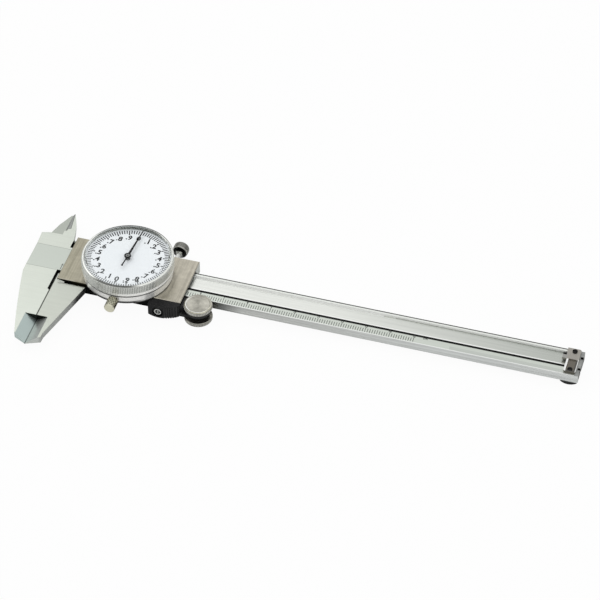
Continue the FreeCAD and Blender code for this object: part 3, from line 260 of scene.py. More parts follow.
def ridge_ring(bm, centre, axis, radius, start, end, count, depth):
    """Straight knurling: a ridge along the axis, narrower outward, repeated round it."""
    axis = Vector(axis).normalized()
    side = axis.orthogonal().normalized()
    across = axis.cross(side)
    pitch = 2 * math.pi * radius / count
    frame_turn = Matrix((side, across, axis)).transposed().to_4x4()
    block = Matrix.Diagonal((depth * 2, pitch * RIDGE_FOOT, end - start, 1.0))
    form = bmesh.ops.create_cube(bm, size=1.0, matrix=block)["verts"]
    for vert in form:
        if vert.co.x > 0:
            vert.co.y *= RIDGE_CREST
            vert.co.z -= math.copysign(depth * RIDGE_SLOPE, vert.co.z)
    bmesh.ops.transform(bm, verts=form, matrix=Matrix.Translation(centre) @ frame_turn
                        @ Matrix.Translation((radius, 0, (start + end) / 2)))
    repeat(bm, form, centre, axis, count)


def turned_ring(bm, middle, profile, sides):
    """A ring about an axis along Z, its section given as radii and heights."""
    loops = []
    for radius, height in profile:
        verts = bmesh.ops.create_circle(
            bm, segments=sides, radius=radius,
            matrix=Matrix.Translation((middle.x, middle.y, height)))["verts"]
        loops.append(list({edge for vert in verts for edge in vert.link_edges}))
    for first, second in zip(loops, loops[1:] + loops[:1]):
        bmesh.ops.bridge_loops(bm, edges=first + second)


def lettering(bm, text, height, place, depth, weight):
    """Adds plain figures, centred on their place and standing depth proud of it."""
    curve = bpy.data.curves.new("figure", "FONT")
    curve.body = text
    curve.size = 1.0
    curve.align_x = "CENTER"
    curve.align_y = "CENTER"
    curve.resolution_u = 3
    curve.offset = weight
    carrier = bpy.data.objects.new("figure", curve)
    bpy.context.scene.collection.objects.link(carrier)
    bpy.context.view_layer.update()
    mesh = bpy.data.meshes.new_from_object(
        carrier.evaluated_get(bpy.context.evaluated_depsgraph_get()))
    figure = bmesh.new()
    figure.from_mesh(mesh)
    across = [vert.co.x for vert in figure.verts]
    up = [vert.co.y for vert in figure.verts]
    middle = Vector(((max(across) + min(across)) / 2, (max(up) + min(up)) / 2, 0))
    scale = height / (max(up) - min(up))
    bmesh.ops.transform(figure, verts=figure.verts,
                        matrix=Matrix.Scale(scale, 4) @ Matrix.Translation(-middle))
    raised = bmesh.ops.extrude_face_region(figure, geom=figure.faces[:])["geom"]
    bmesh.ops.translate(figure, verts=[v for v in raised if isinstance(v, bmesh.types.BMVert)],
                        vec=(0, 0, depth))
    bmesh.ops.transform(figure, verts=figure.verts, matrix=place)
    finished = bpy.data.meshes.new("figure")
    figure.to_mesh(finished)
    figure.free()
    bm.from_mesh(finished)
    bpy.data.objects.remove(carrier)
    bpy.data.curves.remove(curve)
    bpy.data.meshes.remove(mesh)
    bpy.data.meshes.remove(finished)


def give(tree, socket, item):
    """Links a socket to another one, or sets its value."""
    if isinstance(item, bpy.types.NodeSocket):
        tree.links.new(item, socket)
    elif socket.type == "RGBA":
        socket.default_value = (*item[:3], 1.0)
    else:
        socket.default_value = item


def maths(tree, operation, first, second=None, clamp=False):
    """A Math node fed by sockets or numbers."""
    node = tree.nodes.new("ShaderNodeMath")
    node.operation = operation
    node.use_clamp = clamp
    give(tree, node.inputs[0], first)
    if second is not None:
        give(tree, node.inputs[1], second)
    return node.outputs[0]


def scaled(tree, source, factor, offset, clamp=False):
    """A value multiplied by a factor, then moved by an offset."""
    return maths(tree, "ADD", maths(tree, "MULTIPLY", source, factor), offset, clamp)


def weighed(tree, first, second, share):
    """Two values added, the first by its share and the second by the rest."""
    return maths(tree, "ADD", maths(tree, "MULTIPLY", first, share),
                 maths(tree, "MULTIPLY", second, 1 - share))


def soft_step(tree, more, less, soft):
    """1 where one value is above another, changing softly over a width."""
    gap = maths(tree, "SUBTRACT", more, less)
    return maths(tree, "ADD", maths(tree, "DIVIDE", gap, soft), 0.5, clamp=True)


def vectors(tree, operation, first, second):
    """A Vector Math node fed by sockets or numbers."""
    node = tree.nodes.new("ShaderNodeVectorMath")
    node.operation = operation
    give(tree, node.inputs[0], first)
    give(tree, node.inputs["Scale" if operation == "SCALE" else 1], second)
    return node.outputs["Value" if operation == "DOT_PRODUCT" else "Vector"]


def parts_of(tree, vector):
    """A vector's three parts."""
    node = tree.nodes.new("ShaderNodeSeparateXYZ")
    tree.links.new(vector, node.inputs[0])
    return node.outputs


def blend_colour(tree, factor, first, second):
    """A colour Mix node fed by sockets or plain colours."""
    node = tree.nodes.new("ShaderNodeMix")
    node.data_type = "RGBA"
    for index, item in ((0, factor), (6, first), (7, second)):
        give(tree, node.inputs[index], item)
    return node.outputs[2]


def noise(tree, vector, scale, detail=3.0, roughness=0.55):
    """A Noise texture read at a vector."""
    node = tree.nodes.new("ShaderNodeTexNoise")
    for label, item in (("Vector", vector), ("Scale", scale), ("Detail", detail),
                        ("Roughness", roughness)):
        give(tree, node.inputs[label], item)
    return node.outputs["Fac"]


def group(name, values, results):
    """A shader node group fed by a Vector and by named values, with named results."""
    tree = bpy.data.node_groups.new(name, "ShaderNodeTree")
    tree.interface.new_socket(name="Vector", in_out="INPUT", socket_type="NodeSocketVector")
    for label, value in values.items():
        kind = "NodeSocketFloat" if isinstance(value, float) else "NodeSocketVector"
        socket = tree.interface.new_socket(name=label, in_out="INPUT", socket_type=kind)
        socket.default_value = value
    for label in results:
        tree.interface.new_socket(name=label, in_out="OUTPUT", socket_type="NodeSocketFloat")
    start = tree.nodes.new("NodeGroupInput")
    end = tree.nodes.new("NodeGroupOutput")
    return tree, start.outputs, end.inputs


def make_brushed():
    """Fine brushed lines: a shade that varies about 0.5, and a height for bump."""
    tree, start, end = group("Brushed lines", {"Stretch": (60, 4000, 4000), "Contrast": 0.5},
                             ["Shade", "Height"])
    lines = vectors(tree, "MULTIPLY", start["Vector"], start["Stretch"])
    fine = noise(tree, lines, 1.0, 4.0, 0.65)
    broad = noise(tree, vectors(tree, "MULTIPLY", lines, (0.25, 0.25, 0.25)), 1.0, 2.0, 0.5)
    centred = maths(tree, "SUBTRACT", weighed(tree, fine, broad, 0.6), 0.5)
    tree.links.new(scaled(tree, centred, start["Contrast"], 0.5), end["Shade"])
    tree.links.new(fine, end["Height"])
    return tree


def make_handling():
    """Handling marks: soft uneven patches."""
    tree, start, end = group("Handling marks", {"Patch size": 90.0}, ["Patch"])
    tree.links.new(noise(tree, start["Vector"], start["Patch size"], 3.0, 0.6), end["Patch"])
    return tree


def make_zone():
    """A mask that is 1 inside a box of the object's own coordinates, with soft sides."""
    tree, start, end = group("Box zone", {"Low": (0, 0, 0), "High": (1, 1, 1), "Soft": 0.0001},
                             ["Mask"])
    here, low, high = (parts_of(tree, start[label]) for label in ("Vector", "Low", "High"))
    mask = None
    for axis in range(3):
        for more, less in ((here, low), (high, here)):
            step = soft_step(tree, more[axis], less[axis], start["Soft"])
            mask = step if mask is None else maths(tree, "MULTIPLY", mask, step)
    tree.links.new(mask, end["Mask"])
    return tree


def make_side():
    """A mask that is 1 beyond a plane given by its normal and offset."""
    tree, start, end = group("Plane side", {"Normal": (0, 0, 1), "Offset": 0.0, "Soft": 0.0001},
                             ["Mask"])
    reach = vectors(tree, "DOT_PRODUCT", start["Vector"], start["Normal"])
    tree.links.new(soft_step(tree, reach, start["Offset"], start["Soft"]), end["Mask"])
    return tree


def make_rings():
    """Turning marks: fine rings round an axis along Z, about a middle."""
    tree, start, end = group("Turning marks", {"Middle": (0, 0, 0), "Fineness": 2600.0},
                             ["Shade", "Radius", "Sweep"])
    x, y, z = parts_of(tree, vectors(tree, "SUBTRACT", start["Vector"], start["Middle"]))
    radius = maths(tree, "SQRT", maths(tree, "ADD", maths(tree, "MULTIPLY", x, x),
                                       maths(tree, "MULTIPLY", y, y)))
    line = tree.nodes.new("ShaderNodeCombineXYZ")
    tree.links.new(maths(tree, "MULTIPLY", radius, start["Fineness"]), line.inputs[0])
    tree.links.new(maths(tree, "MULTIPLY", z, start["Fineness"]), line.inputs[1])
    tree.links.new(noise(tree, line.outputs[0], 1.0, 3.0, 0.6), end["Shade"])
    tree.links.new(radius, end["Radius"])
    # Sweep, a two-lobed pattern round the axis, gives the roller its painted highlight.
    sweep = maths(tree, "SINE", scaled(tree, maths(tree, "ARCTAN2", y, x), 2.0, 0.9))
    tree.links.new(scaled(tree, sweep, 0.5, 0.5), end["Sweep"])
    return tree


def make_diamonds():
    """Diamond knurling about an axis along Y: a mask over its crossed grooves."""
    tree, start, end = group("Diamond knurling",
                             {"Middle": (0, 0, 0), "Count": 20.0, "Lead": 5000.0}, ["Groove"])
    x, y, z = parts_of(tree, vectors(tree, "SUBTRACT", start["Vector"], start["Middle"]))
    turn = maths(tree, "MULTIPLY", maths(tree, "ARCTAN2", z, x), start["Count"])
    along = maths(tree, "MULTIPLY", y, start["Lead"])
    sides = [maths(tree, "ABSOLUTE", maths(tree, "SINE", maths(tree, way, turn, along)))
             for way in ("ADD", "SUBTRACT")]
    rise = maths(tree, "MULTIPLY", maths(tree, "MINIMUM", *sides), 2.0)
    tree.links.new(maths(tree, "SUBTRACT", 1.0, rise, clamp=True), end["Groove"])
    return tree


GROUPS = {}
GROUP_MAKERS = {"brushed": make_brushed, "handling": make_handling, "zone": make_zone,
                "side": make_side, "rings": make_rings, "diamonds": make_diamonds}


def shared(name):
    """The shared node groups, each built once."""
    if name not in GROUPS:
        GROUPS[name] = GROUP_MAKERS[name]()
    return GROUPS[name]


class Finish:
    """A material being built: its tree, shader and Object coordinates."""

    def __init__(self, name, **constants):
        self.material = bpy.data.materials.new(name)
        self.material.use_nodes = True
        self.tree = self.material.node_tree
        self.shader = self.tree.nodes["Principled BSDF"]
        self.here = self.tree.nodes.new("ShaderNodeTexCoord").outputs["Object"]
        self.metal = 1.0
        self.set(**constants)

    def set(self, **constants):
        """Sets inputs of the shader."""
        for label, value in constants.items():
            self.shader.inputs[label.replace("_", " ")].default_value = value

    def feed(self, socket, source):
        """Links a value to an input of the shader."""
        self.tree.links.new(source, self.shader.inputs[socket])

    def dye(self, over):
        """Makes a colour the finish's own."""
        self.colour = over
        self.feed("Base Color", over)

    def use(self, name, **values):
        """Places a shared group, fed by Object coordinates."""
        node = self.tree.nodes.new("ShaderNodeGroup")
        node.node_tree = shared(name)
        self.tree.links.new(self.here, node.inputs["Vector"])
        for label, value in values.items():
            give(self.tree, node.inputs[label.replace("_", " ")], value)
        return node.outputs

    def about_y(self):
        """Object coordinates with Y and Z exchanged, for rings about an axis along Y."""
        joined = self.tree.nodes.new("ShaderNodeCombineXYZ")
        for source, target in zip(parts_of(self.tree, self.here), (0, 2, 1)):
            self.tree.links.new(source, joined.inputs[target])
        return joined.outputs[0]

    def zone(self, low, high, soft=0.1):
        """A mask over a box given in millimetres."""
        return self.use("zone", Low=[v * MM for v in low], High=[v * MM for v in high],
                        Soft=soft * MM)["Mask"]

    def level(self, low, high, soft=0.1):
        """A mask over all that lies between two heights in millimetres."""
        return self.zone((-FAR, -FAR, low), (FAR, FAR, high), soft)

    def beyond(self, normal, offset, soft=0.03):
        """A mask over the far side of a plane, its offset given in millimetres."""
        return self.use("side", Normal=normal, Offset=offset * MM, Soft=soft * MM)["Mask"]

    def band(self, inner=-1.0, outer=FAR):
        """A mask between two radii about the rings' axis, in millimetres."""
        radius = self.rings["Radius"]
        return self.where(maths(self.tree, "GREATER_THAN", radius, inner * MM),
                          maths(self.tree, "LESS_THAN", radius, outer * MM))

    def where(self, mask, *others):
        """Masks multiplied, so 1 only where all of them are."""
        for other in others:
            mask = maths(self.tree, "MULTIPLY", mask, other)
        return mask

    def paint(self, mask, over, strength=1.0):
        """Lays a colour over the finish's own where a mask is 1, or each of several."""
        if isinstance(mask, tuple):
            mask = self.where(*mask)
        if strength != 1.0:
            mask = maths(self.tree, "MULTIPLY", mask, strength)
        self.dye(blend_colour(self.tree, mask, self.colour, over))

    def box(self, low, high, over, strength=1.0, soft=0.06):
        """Paints a box given in millimetres."""
        self.paint(self.zone(low, high, soft), over, strength)

    def boxes(self, rows):
        """Paints named boxes in turn."""
        for row in rows.values():
            self.box(*row)

    def soften(self, mask, share):
        """Lowers the metallic share where a mask is 1."""
        self.metal = maths(self.tree, "SUBTRACT", self.metal,
                           maths(self.tree, "MULTIPLY", mask, share), clamp=True)
        self.feed("Metallic", self.metal)

    def bump(self, height, strength, distance):
        """Feeds a height to the Normal through a Bump node."""
        node = self.tree.nodes.new("ShaderNodeBump")
        node.inputs["Strength"].default_value = strength
        node.inputs["Distance"].default_value = distance
        self.tree.links.new(height, node.inputs["Height"])
        self.feed("Normal", node.outputs[0])

    def tint(self, base, shade, amount):
        """A colour lightened and darkened by a shade that lies about 0.5."""
        factor = scaled(self.tree, maths(self.tree, "SUBTRACT", shade, 0.5), amount, 1.0)
        return vectors(self.tree, "SCALE", base, factor)

    def mix_in(self, share, other):
        """Mixes another shader in before the output, by a share."""
        mixer = self.tree.nodes.new("ShaderNodeMixShader")
        for socket, source in zip(mixer.inputs, (share, self.shader.outputs[0], other)):
            self.tree.links.new(source, socket)
        output = self.tree.nodes["Material Output"]
        self.tree.links.new(mixer.outputs[0], output.inputs["Surface"])


def ground_steel(name, base, stretch, rough, contrast, amount=0.35):
    """Ground or brushed steel, with lines that run across the largest stretch."""
    finish = Finish(name, Metallic=1.0)
    lines = finish.use("brushed", Stretch=stretch, Contrast=contrast)
    patch = finish.use("handling")["Patch"]
    finish.dye(finish.tint(base, weighed(finish.tree, lines["Shade"], patch, 0.75), amount))
    finish.feed("Roughness", scaled(finish.tree, lines["Shade"], 0.16, rough - 0.08))
    finish.bump(lines["Height"], 0.25, 0.02 * MM)
    return finish


def turned_metal(name, base, middle, rough, amount=0.2, bump=0.2):
    """Lathe-turned metal, with fine rings about its axis."""
    finish = Finish(name, Metallic=1.0)
    finish.rings = finish.use("rings", Middle=middle)
    shade = finish.rings["Shade"]
    patch = finish.use("handling", Patch_size=220.0)["Patch"]
    finish.dye(finish.tint(base, weighed(finish.tree, shade, patch, 0.7), amount))
    finish.feed("Roughness", scaled(finish.tree, patch, 0.12, rough - 0.06))
    finish.bump(shade, bump, 0.02 * MM)
    return finish


def coat(name, base, patch_size, amount, rough, spread=0.2, **constants):
    """A coat, print or clear body, made uneven by handling patches."""
    finish = Finish(name, **constants)
    finish.patch = finish.use("handling", Patch_size=patch_size)["Patch"]
    finish.dye(finish.tint(base, finish.patch, amount))
    finish.feed("Roughness", scaled(finish.tree, finish.patch, spread, rough))
    return finish


def beam_faces(beam, chosen, strokes):
    """The head, the lands, and the recess with painted light on its far wall."""
    far = beam.beyond((1, 0, 0), 158.0, 95.0)
    floor = blend_colour(beam.tree, far, chosen.recess, screen(192, 196, 190))
    land = beam.tint(chosen.land, strokes, 0.16)
    far_land = beam.tint(screen(240, 243, 238), strokes, 0.2)
    beam.boxes({
        "head": ((-20, -7.25, -0.05), (14, 6.0, 1), chosen.band, 1.0, 0.1),
        "scale land": ((14, -7.3, -0.04), (216.2, -2.3, 0.1), land, 1.0, 0.1),
        "far land": ((14, 5.7, -0.04), (216.2, 7.4, 0.1), far_land, 1.0, 0.1),
        "recess": ((14, -2.3, -1.2), (212.4, 5.68, -0.5), beam.tint(floor, strokes, 0.26), 1.0,
                   0.1)})
    # Painted light: the recess's far wall is painted white and made less metallic.
    wall = beam.zone((14, 5.6, -0.9), (212.4, 5.8, -0.02), 0.02)
    beam.paint(wall, WHITE)
    beam.soften(wall, 0.9)


def beam_edges(beam):
    """Dark lines along the head, and painted shade and painted highlights along the recess, the
    groove and the lands.
    """
    beam.boxes({
        "head, near": ((-20, -7.34, -0.05), (1.2, -7.18, 1), BLACK, 0.5),
        "head, far": ((-20, 5.92, -0.05), (1.2, 6.08, 1), BLACK, 0.5),
        # Painted shade at the recess's tail end and painted light at its head end.
        "recess, painted shade at tail end": ((140, 5.3, -1.2), (212.4, 5.72, -0.8), BLACK, 0.2),
        "recess, painted light at head end": ((14, 4.9, -1.2), (135, 5.72, -0.8), WHITE, 0.8),
        # Painted shade along the far edge of the far land.
        "far land": ((14, 6.55, -0.1), (216.2, 7.3, 0.1), BLACK, 0.9),
        # Painted shade along the groove's near edge.
        "groove's near edge, painted shade": ((14, -3.36, -0.1), (212.4, -3.0, 0.1), BLACK, 0.9),
        "scale land, tail end": ((165, -7.2, -0.1), (217, -5.0, 0.1), screen(186, 190, 186), 0.5),
        # Painted highlight along the groove's far edge, then painted shade filling the groove.
        "groove's far edge, painted highlight": ((14, -1.15, -1.2), (212.4, -0.6, -0.5), WHITE, 0.9),
        "groove": ((14, -3.2, -3), (212.4, -1.2, -0.3), BLACK),
        # Painted highlight along the scale land's edge.
        "scale land's edge, painted highlight": ((14, -7.3, -0.16), (216.2, -6.82, 0.1), WHITE, 0.85)})


def beam_wall(beam, chosen, strokes):
    """The near side wall, with painted light that grows toward the tail and a painted shadow along
    its upper part.
    """
    # Painted light: the wall's tone steps from a dark grey to beam_side and on to a light grey
    # toward the tail.
    shade = screen(136, 138, 136)
    for start, soft, over in ((74.0, 9.0, chosen.beam_side),
                              (128.0, 60.0, screen(222, 225, 223))):
        shade = blend_colour(beam.tree, beam.beyond((1, 0, 0), start, soft), shade, over)
    beam.boxes({
        "wall": ((0.4, -9, -5), (230, -7.04, -0.12), beam.tint(shade, strokes, 0.75), 1.0, 0.03),
        "shadow": ((0.4, -9, -1.5), (230, -7.04, -0.3), BLACK, 0.12, 0.4)})


def beam_jaws(beam, chosen):
    """Knife edge, lines where the jaws meet, painted shade on the knife's walls and in the
    reliefs, and the grind of the inside jaw.
    """
    beam.boxes({
        "knife edge": ((-20, -50, -2.9), (0.1, JAW_BEVEL_TOP - 0.05, -0.03), chosen.bevel, 1.0,
                       0.03),
        # Painted shade on the small wall at the knife edge's upper end.
        "its upper line, painted shade": ((-5.2, JAW_BEVEL_TOP - 0.1, -2.8), (0.1, JAW_BEVEL_TOP + 0.1, -0.04),
                           screen(34, 37, 34), 1.0, 0.03)})
    # Painted shade on the side wall at the knife's tip.
    beam.paint((beam.zone((-5.3, -50, -4), (0.1, -46.6, 1)),
                beam.beyond((KNIFE_DEPTH / KNIFE_WIDTH, 0, -1), KNIFE_DEPTH - 0.02)), BLACK, 0.9)
    beam.boxes({
        # Painted shade in the relief slot at the jaws' root.
        "relief": ((-1.3, -19.9, -5), (0.3, -6.9, -0.03), BLACK, 1.0, 0.03),
        "contact": ((-0.26, -34.8, -5), (0.2, -19.6, 1), BLACK, 0.85, 0.08),
        "knife's contact": ((-0.2, -49.3, -3), (0.2, -34.8, 1), BLACK, 0.6, 0.1),
        # Painted shade in the inside jaws' relief.
        "inside relief": ((-1.6, 7.3, -5), (0.6, 12.6, -0.04), BLACK, 1.0, 0.04)})
    for inset, over, strength in ((0.0, screen(84, 87, 85), 0.8),
                                  (0.28, screen(160, 163, 160), 0.9)):
        beam.paint((beam.beyond((1.0, 0.021, 0), -5.73 + inset, 0.08),
                    beam.beyond((-0.99, -0.14, 0), 1.31 + inset, 0.08),
                    beam.beyond((-0.303, 0.953, 0), 18.5 + inset, 0.08),
                    beam.zone((-9, 17, -2.5), (-3, 30, 0.1))), over, strength)


def beam_finish(chosen):
    """Ground steel of the beam and its jaws."""
    beam = ground_steel("Ground beam steel", chosen.beam, (40, 2600, 2600), 0.34, 0.9)
    strokes = beam.use("brushed", Stretch=(26, 1500, 1500), Contrast=1.7)["Shade"]
    beam_faces(beam, chosen, strokes)
    beam_edges(beam)
    beam_wall(beam, chosen, strokes)
    beam_jaws(beam, chosen)
    tail = beam.tint(screen(150, 152, 150), strokes, 0.8)
    beam.boxes({
        "tail": ((216.25, -9, -0.05), (219, 7.4, 0.1), tail, 1.0, 0.05),
        # Painted shade on the beam's end face and in its notches.
        "tail's end": ((216.7, -6.4, -5), (219, 6.4, -0.1), BLACK, 0.9, 0.05)})
    return beam


def slider_plate(slider, chosen):
    """The brushed plate, the movable inside jaw and the movable knife edge."""
    strokes = slider.use("brushed", Stretch=(2400, 45, 2400), Contrast=1.6)["Shade"]
    tone = blend_colour(slider.tree, slider.beyond((1, 0, 0), 25.0, 45.0), chosen.slider,
                        chosen.slider_far)
    smudge = slider.use("handling", Patch_size=420.0)["Patch"]
    face = slider.tint(slider.tint(tone, strokes, 0.8), smudge, 0.5)
    slider.boxes({
        "plate": ((0, -13.4, 0.3), (60, 30, 5), face),
        "inside jaw": ((-14, 12.6, -5), (1, 30, -1.7), chosen.arm, 1.0, 0.04),
        "knife edge": ((-0.1, -50, -2.9), (5.2, JAW_BEVEL_TOP - 0.05, -0.03), chosen.bevel_far,
                       1.0, 0.03),
        # Painted shade on the small wall at the knife edge's upper end.
        "its upper line, painted shade": ((-0.1, JAW_BEVEL_TOP - 0.1, -2.8), (5.2, JAW_BEVEL_TOP + 0.1, -0.04),
                           BLACK, 1.0, 0.03)})


def slider_jaw_side(slider, chosen):
    """The outer side wall of the movable jaw, in painted shade that is darker near its root."""
    slope = (JAW_ROOT_WIDE - JAW_TIP_WIDE) / (JAW_TIP_TURN - JAW_ROOT)
    outer = slider.beyond((1, slope, 0), JAW_ROOT_WIDE + slope * JAW_ROOT - 0.02)
    wall = slider.zone((4, -50, -5), (15, -13.3, -0.02), 0.02)
    # Painted shade: the side colour on the jaw's outer wall.
    slider.paint((outer, wall), chosen.side)
    # Painted shade near the root, under the slider's plate.
    root = slider.zone((4, -22, -5), (15, -13.3, -0.02), 4.0)
    limit = slider.zone((4, -30, -5), (15, -13, -0.02), 0.03)
    slider.paint((outer, root, limit), screen(52, 53, 52))


def slider_finish(chosen):
    """Brushed steel of the slider, with painted shade on its near wall and its ends, and painted
    light and highlights along the near wall.
    """
    slider = ground_steel("Brushed slider steel", chosen.jaw, (60, 2200, 2200), 0.34, 0.9)
    slider_plate(slider, chosen)
    slider_jaw_side(slider, chosen)
    # Painted shadow on the near wall, with a painted glint on it.
    slider.boxes({
        "near wall": ((1.3, -14, -6), (60, -13.1, 1.22), BLACK, 1.0, 0.04),
        "its glint": ((7.5, -14, -0.1), (15, -13.1, 1.22), screen(104, 98, 70), 0.6, 1.5)})
    # Painted light on the near wall's first end, beside its painted shadow.
    lens = slider.where(slider.zone((0.9, -14, -0.1), (8, -13.1, 1.22), 0.04),
                        slider.beyond((-0.28, 0, -1), -1.2, 0.1))
    slider.paint(lens, screen(226, 229, 222))
    slider.soften(lens, 0.9)
    slider.boxes({
        # Painted highlight along the plate's lower edge.
        "lip": ((1, -13.5, 1.3), (9, -12.98, 2), screen(226, 223, 208), 0.7, 0.05),
        # Painted shade on the slider's end face, black at the near part and side-coloured at the
        # far part.
        "end": ((54.25, -14, -6), (60, 7.2, 1.3), BLACK, 0.9, 0.04),
        "end, far": ((54.25, 7.2, -6), (60, 14, 1.2), chosen.side, 0.6, 0.04),
        "contact": ((-0.1, -34.8, -5), (0.26, -7, 1), BLACK, 0.85, 0.08),
        # Painted shade in the inside relief.
        "inside relief": ((-1.6, 7.3, -5), (1.06, 12.6, -0.04), BLACK, 1.0, 0.04),
        "knife's contact": ((-0.1, -49.3, -3), (0.25, -34.8, 1), BLACK, 0.6, 0.1)})
    return slider


def trim_finish():
    """The end plate with its well and tab, with painted shade and painted highlights on the edges
    round them.
    """
    trim = ground_steel("End plate steel", screen(168, 165, 158), (2200, 60, 2200), 0.36, 1.3,
                        0.9)
    trim.boxes({
        "well": ((211.0, -8, -1), (216.7, 0.75, 0.85), screen(116, 112, 104)),
        "plate": ((212.3, -8, 0.85), (216.7, 0.75, 2), screen(92, 91, 88)),
        "tab": ((209.5, 0.5, 0.85), (211.55, 3.4, 2), screen(165, 165, 161)),
        # Painted shade in the notch beside the tab.
        "tab's far side, painted shade": ((209.5, 2.85, -1), (211.1, 4.2, 2), BLACK),
        # Painted highlights along the plate's edges.
        "plate's first edge, painted highlight": ((211.55, -6.9, 0.85), (212.4, 0.75, 2), WHITE, 0.95),
        "plate's last edge, painted highlight": ((216.15, -6.9, 0.3), (216.7, 1.2, 2), WHITE, 0.8),
        # Painted shadow along the plate's near wall and foot.
        "foot": ((211.0, -7.4, -1), (217, -5.0, 0.0), BLACK)})
    return trim


def plating_finish(chosen):
    """Bright plating of the bezel and its drum, with painted shade round the rim, in the knurling,
    under the bezel and at the drum's foot, and painted light on the drum and on one side of the
    bezel.
    """
    plating = turned_metal("Bright plating", chosen.plating, DIAL_MIDDLE, 0.26, 0.12, 0.1)
    rim = BEZEL_RADIUS / MM
    high = BEZEL_HIGH.z / MM
    # Painted shade on the bezel's inner wall at the back.
    plating.paint((plating.band(outer=rim - 0.9), plating.beyond((-0.1, 1, 0), 9.0, 8.0),
                   plating.level(high - 2.8, 20)), screen(172, 175, 171))
    # Painted shade in the knurling between the bezel's ridges.
    plating.paint((plating.band(rim - 0.03, rim + 0.02), plating.level(5.4, high - 0.5, 0.05)),
                  screen(164, 166, 162))
    plating.soften(plating.level(1.4, high - 0.3, 0.2), 0.55)
    # Painted light on the drum's side, and painted shade at its foot and under the bezel.
    for low, top, over, strength in ((1.95, 4.95, screen(250, 250, 247), 1.0),
                                     (1.4, 1.95, BLACK, 0.85), (4.7, 5.5, BLACK, 0.85)):
        plating.paint(plating.level(low, top, 0.05), over, strength)
    # Painted shade at the drum's foot on the near side.
    plating.paint((plating.level(1.4, 2.6, 0.2), plating.beyond((0, -1, 0), 17.0, 3.0)),
                  BLACK, 0.9)
    # Painted shade on the rim's top on the near side.
    plating.paint((plating.beyond((0, -1, 0), 18.2, 2.0), plating.level(high - 0.32, 20, 0.05)),
                  screen(40, 42, 40), 0.85)
    # Painted highlight on one side of the bezel's lower band.
    painted_highlight = plating.where(plating.beyond((0.8, -0.6, 0), 35.0, 5.0),
                          plating.level(5.55, 6.9, 0.3))
    plating.paint(painted_highlight, screen(255, 255, 252))
    plating.soften(painted_highlight, 0.4)
    # Painted shade on the rim's top at the back.
    plating.paint((plating.band(rim - 0.62), plating.level(high - 0.9, 20),
                   plating.beyond((-0.1, 1, 0), 8.0, 8.0)), screen(40, 42, 40))
    return plating


def roller_finish(chosen):
    """Roller nickel: a painted radial highlight, a painted highlight on the near edge, and sides
    in painted shade that differ between knob and flange, lighter on the ridges' crests.
    """
    roller = turned_metal("Roller nickel", chosen.nickel, ROLLER_MIDDLE, 0.3, 0.25, 0.3)
    # Painted highlight: the sweep lightens and darkens the nickel in two lobes round the axis.
    roller.dye(roller.tint(roller.colour, roller.rings["Sweep"], 0.4))
    spot = ROLLER_MIDDLE / MM
    wide = ROLLER_RADIUS / MM
    high = ROLLER_HIGH.z / MM
    # Painted highlight on the top's near side.
    roller.paint((roller.level(high - 0.1, 20, 0.05),
                  roller.beyond((0, -1, 0), 1.5 - spot.y, 7.0)), screen(226, 223, 198), 0.95)
    # Painted highlight round the top's near edge, with painted shade just outside it.
    near = roller.beyond((-0.45, -0.9, 0), -0.45 * spot.x - 0.9 * spot.y + 0.5, 6.0)
    top = roller.level(high - 0.5, 20, 0.05)
    for inner, outer, over, strength in ((wide - 1.0, wide - 0.5, screen(255, 255, 250), 1.0),
                                         (wide - 0.5, wide - 0.2, screen(60, 60, 57), 0.7)):
        roller.paint((roller.band(inner, outer), near, top), over, strength)
    # Painted shade on the sides, with the ridges' crests painted lighter as highlights.
    side = roller.level(-9, high - 0.3, 0.05)
    for inner, over in ((wide - 0.1, screen(152, 151, 144)), (wide + 0.03, screen(232, 231, 224))):
        roller.paint((roller.band(inner), side), over, 0.85)
    cloud = roller.use("handling", Patch_size=700.0)["Patch"]
    roller.dye(roller.tint(roller.colour, cloud, 0.9))
    return roller


def lock_finish():
    """Lock screw: painted shade in the knurling grooves and in the hollow under its head, and a
    painted highlight on the shaft.
    """
    spot = LOCK_MIDDLE / MM
    tip = LOCK_HIGH.y / MM
    lock = turned_metal("Lock nickel", screen(168, 168, 162), LOCK_MIDDLE, 0.3)
    # Painted shade in the diamond knurling's grooves.
    groove = lock.use("diamonds", Middle=LOCK_MIDDLE, Count=14.0, Lead=3200.0)["Groove"]
    barrel = lock.zone((0, spot.y + 4.4, -9), (60, tip - 0.4, 9), 0.05)
    lock.paint((barrel, groove), screen(52, 53, 52), 0.85)
    # Painted shade in the hollow under the head, and a painted highlight on the shaft.
    inner = lock.beyond((0, -1, 0), 3.55 - tip)
    shaft = lock.zone((spot.x - 1.35, -10, spot.z - 1.35), (spot.x + 1.35, 30, spot.z + 1.35),
                      0.05)
    lock.paint((inner, maths(lock.tree, "SUBTRACT", 1.0, shaft)), screen(44, 45, 44))
    lock.paint((inner, shaft), screen(225, 226, 222))
    return lock


def clamp_finish(chosen):
    """Bezel clamp: painted shade in the knurling grooves and on one side."""
    spot = CLAMP_MIDDLE / MM
    warm = ground_steel("Warm nickel", chosen.warm, (2600, 60, 2600), 0.3, 0.9, 0.3)
    # Painted shade in the diamond knurling's grooves.
    groove = warm.use("diamonds", Middle=CLAMP_MIDDLE, Count=6.0, Lead=1800.0)["Groove"]
    barrel = warm.zone((0, CLAMP_LOW.y / MM + 0.35, -9), (60, 0, 9), 0.05)
    warm.paint((barrel, groove), screen(30, 26, 12))
    # Painted shade on the side facing right and down.
    shaded = warm.beyond((0.9, 0, -0.44), 0.9 * spot.x - 0.44 * spot.z + 1.0, 1.6)
    warm.paint((shaded, barrel), screen(112, 104, 76), 0.6)
    return warm


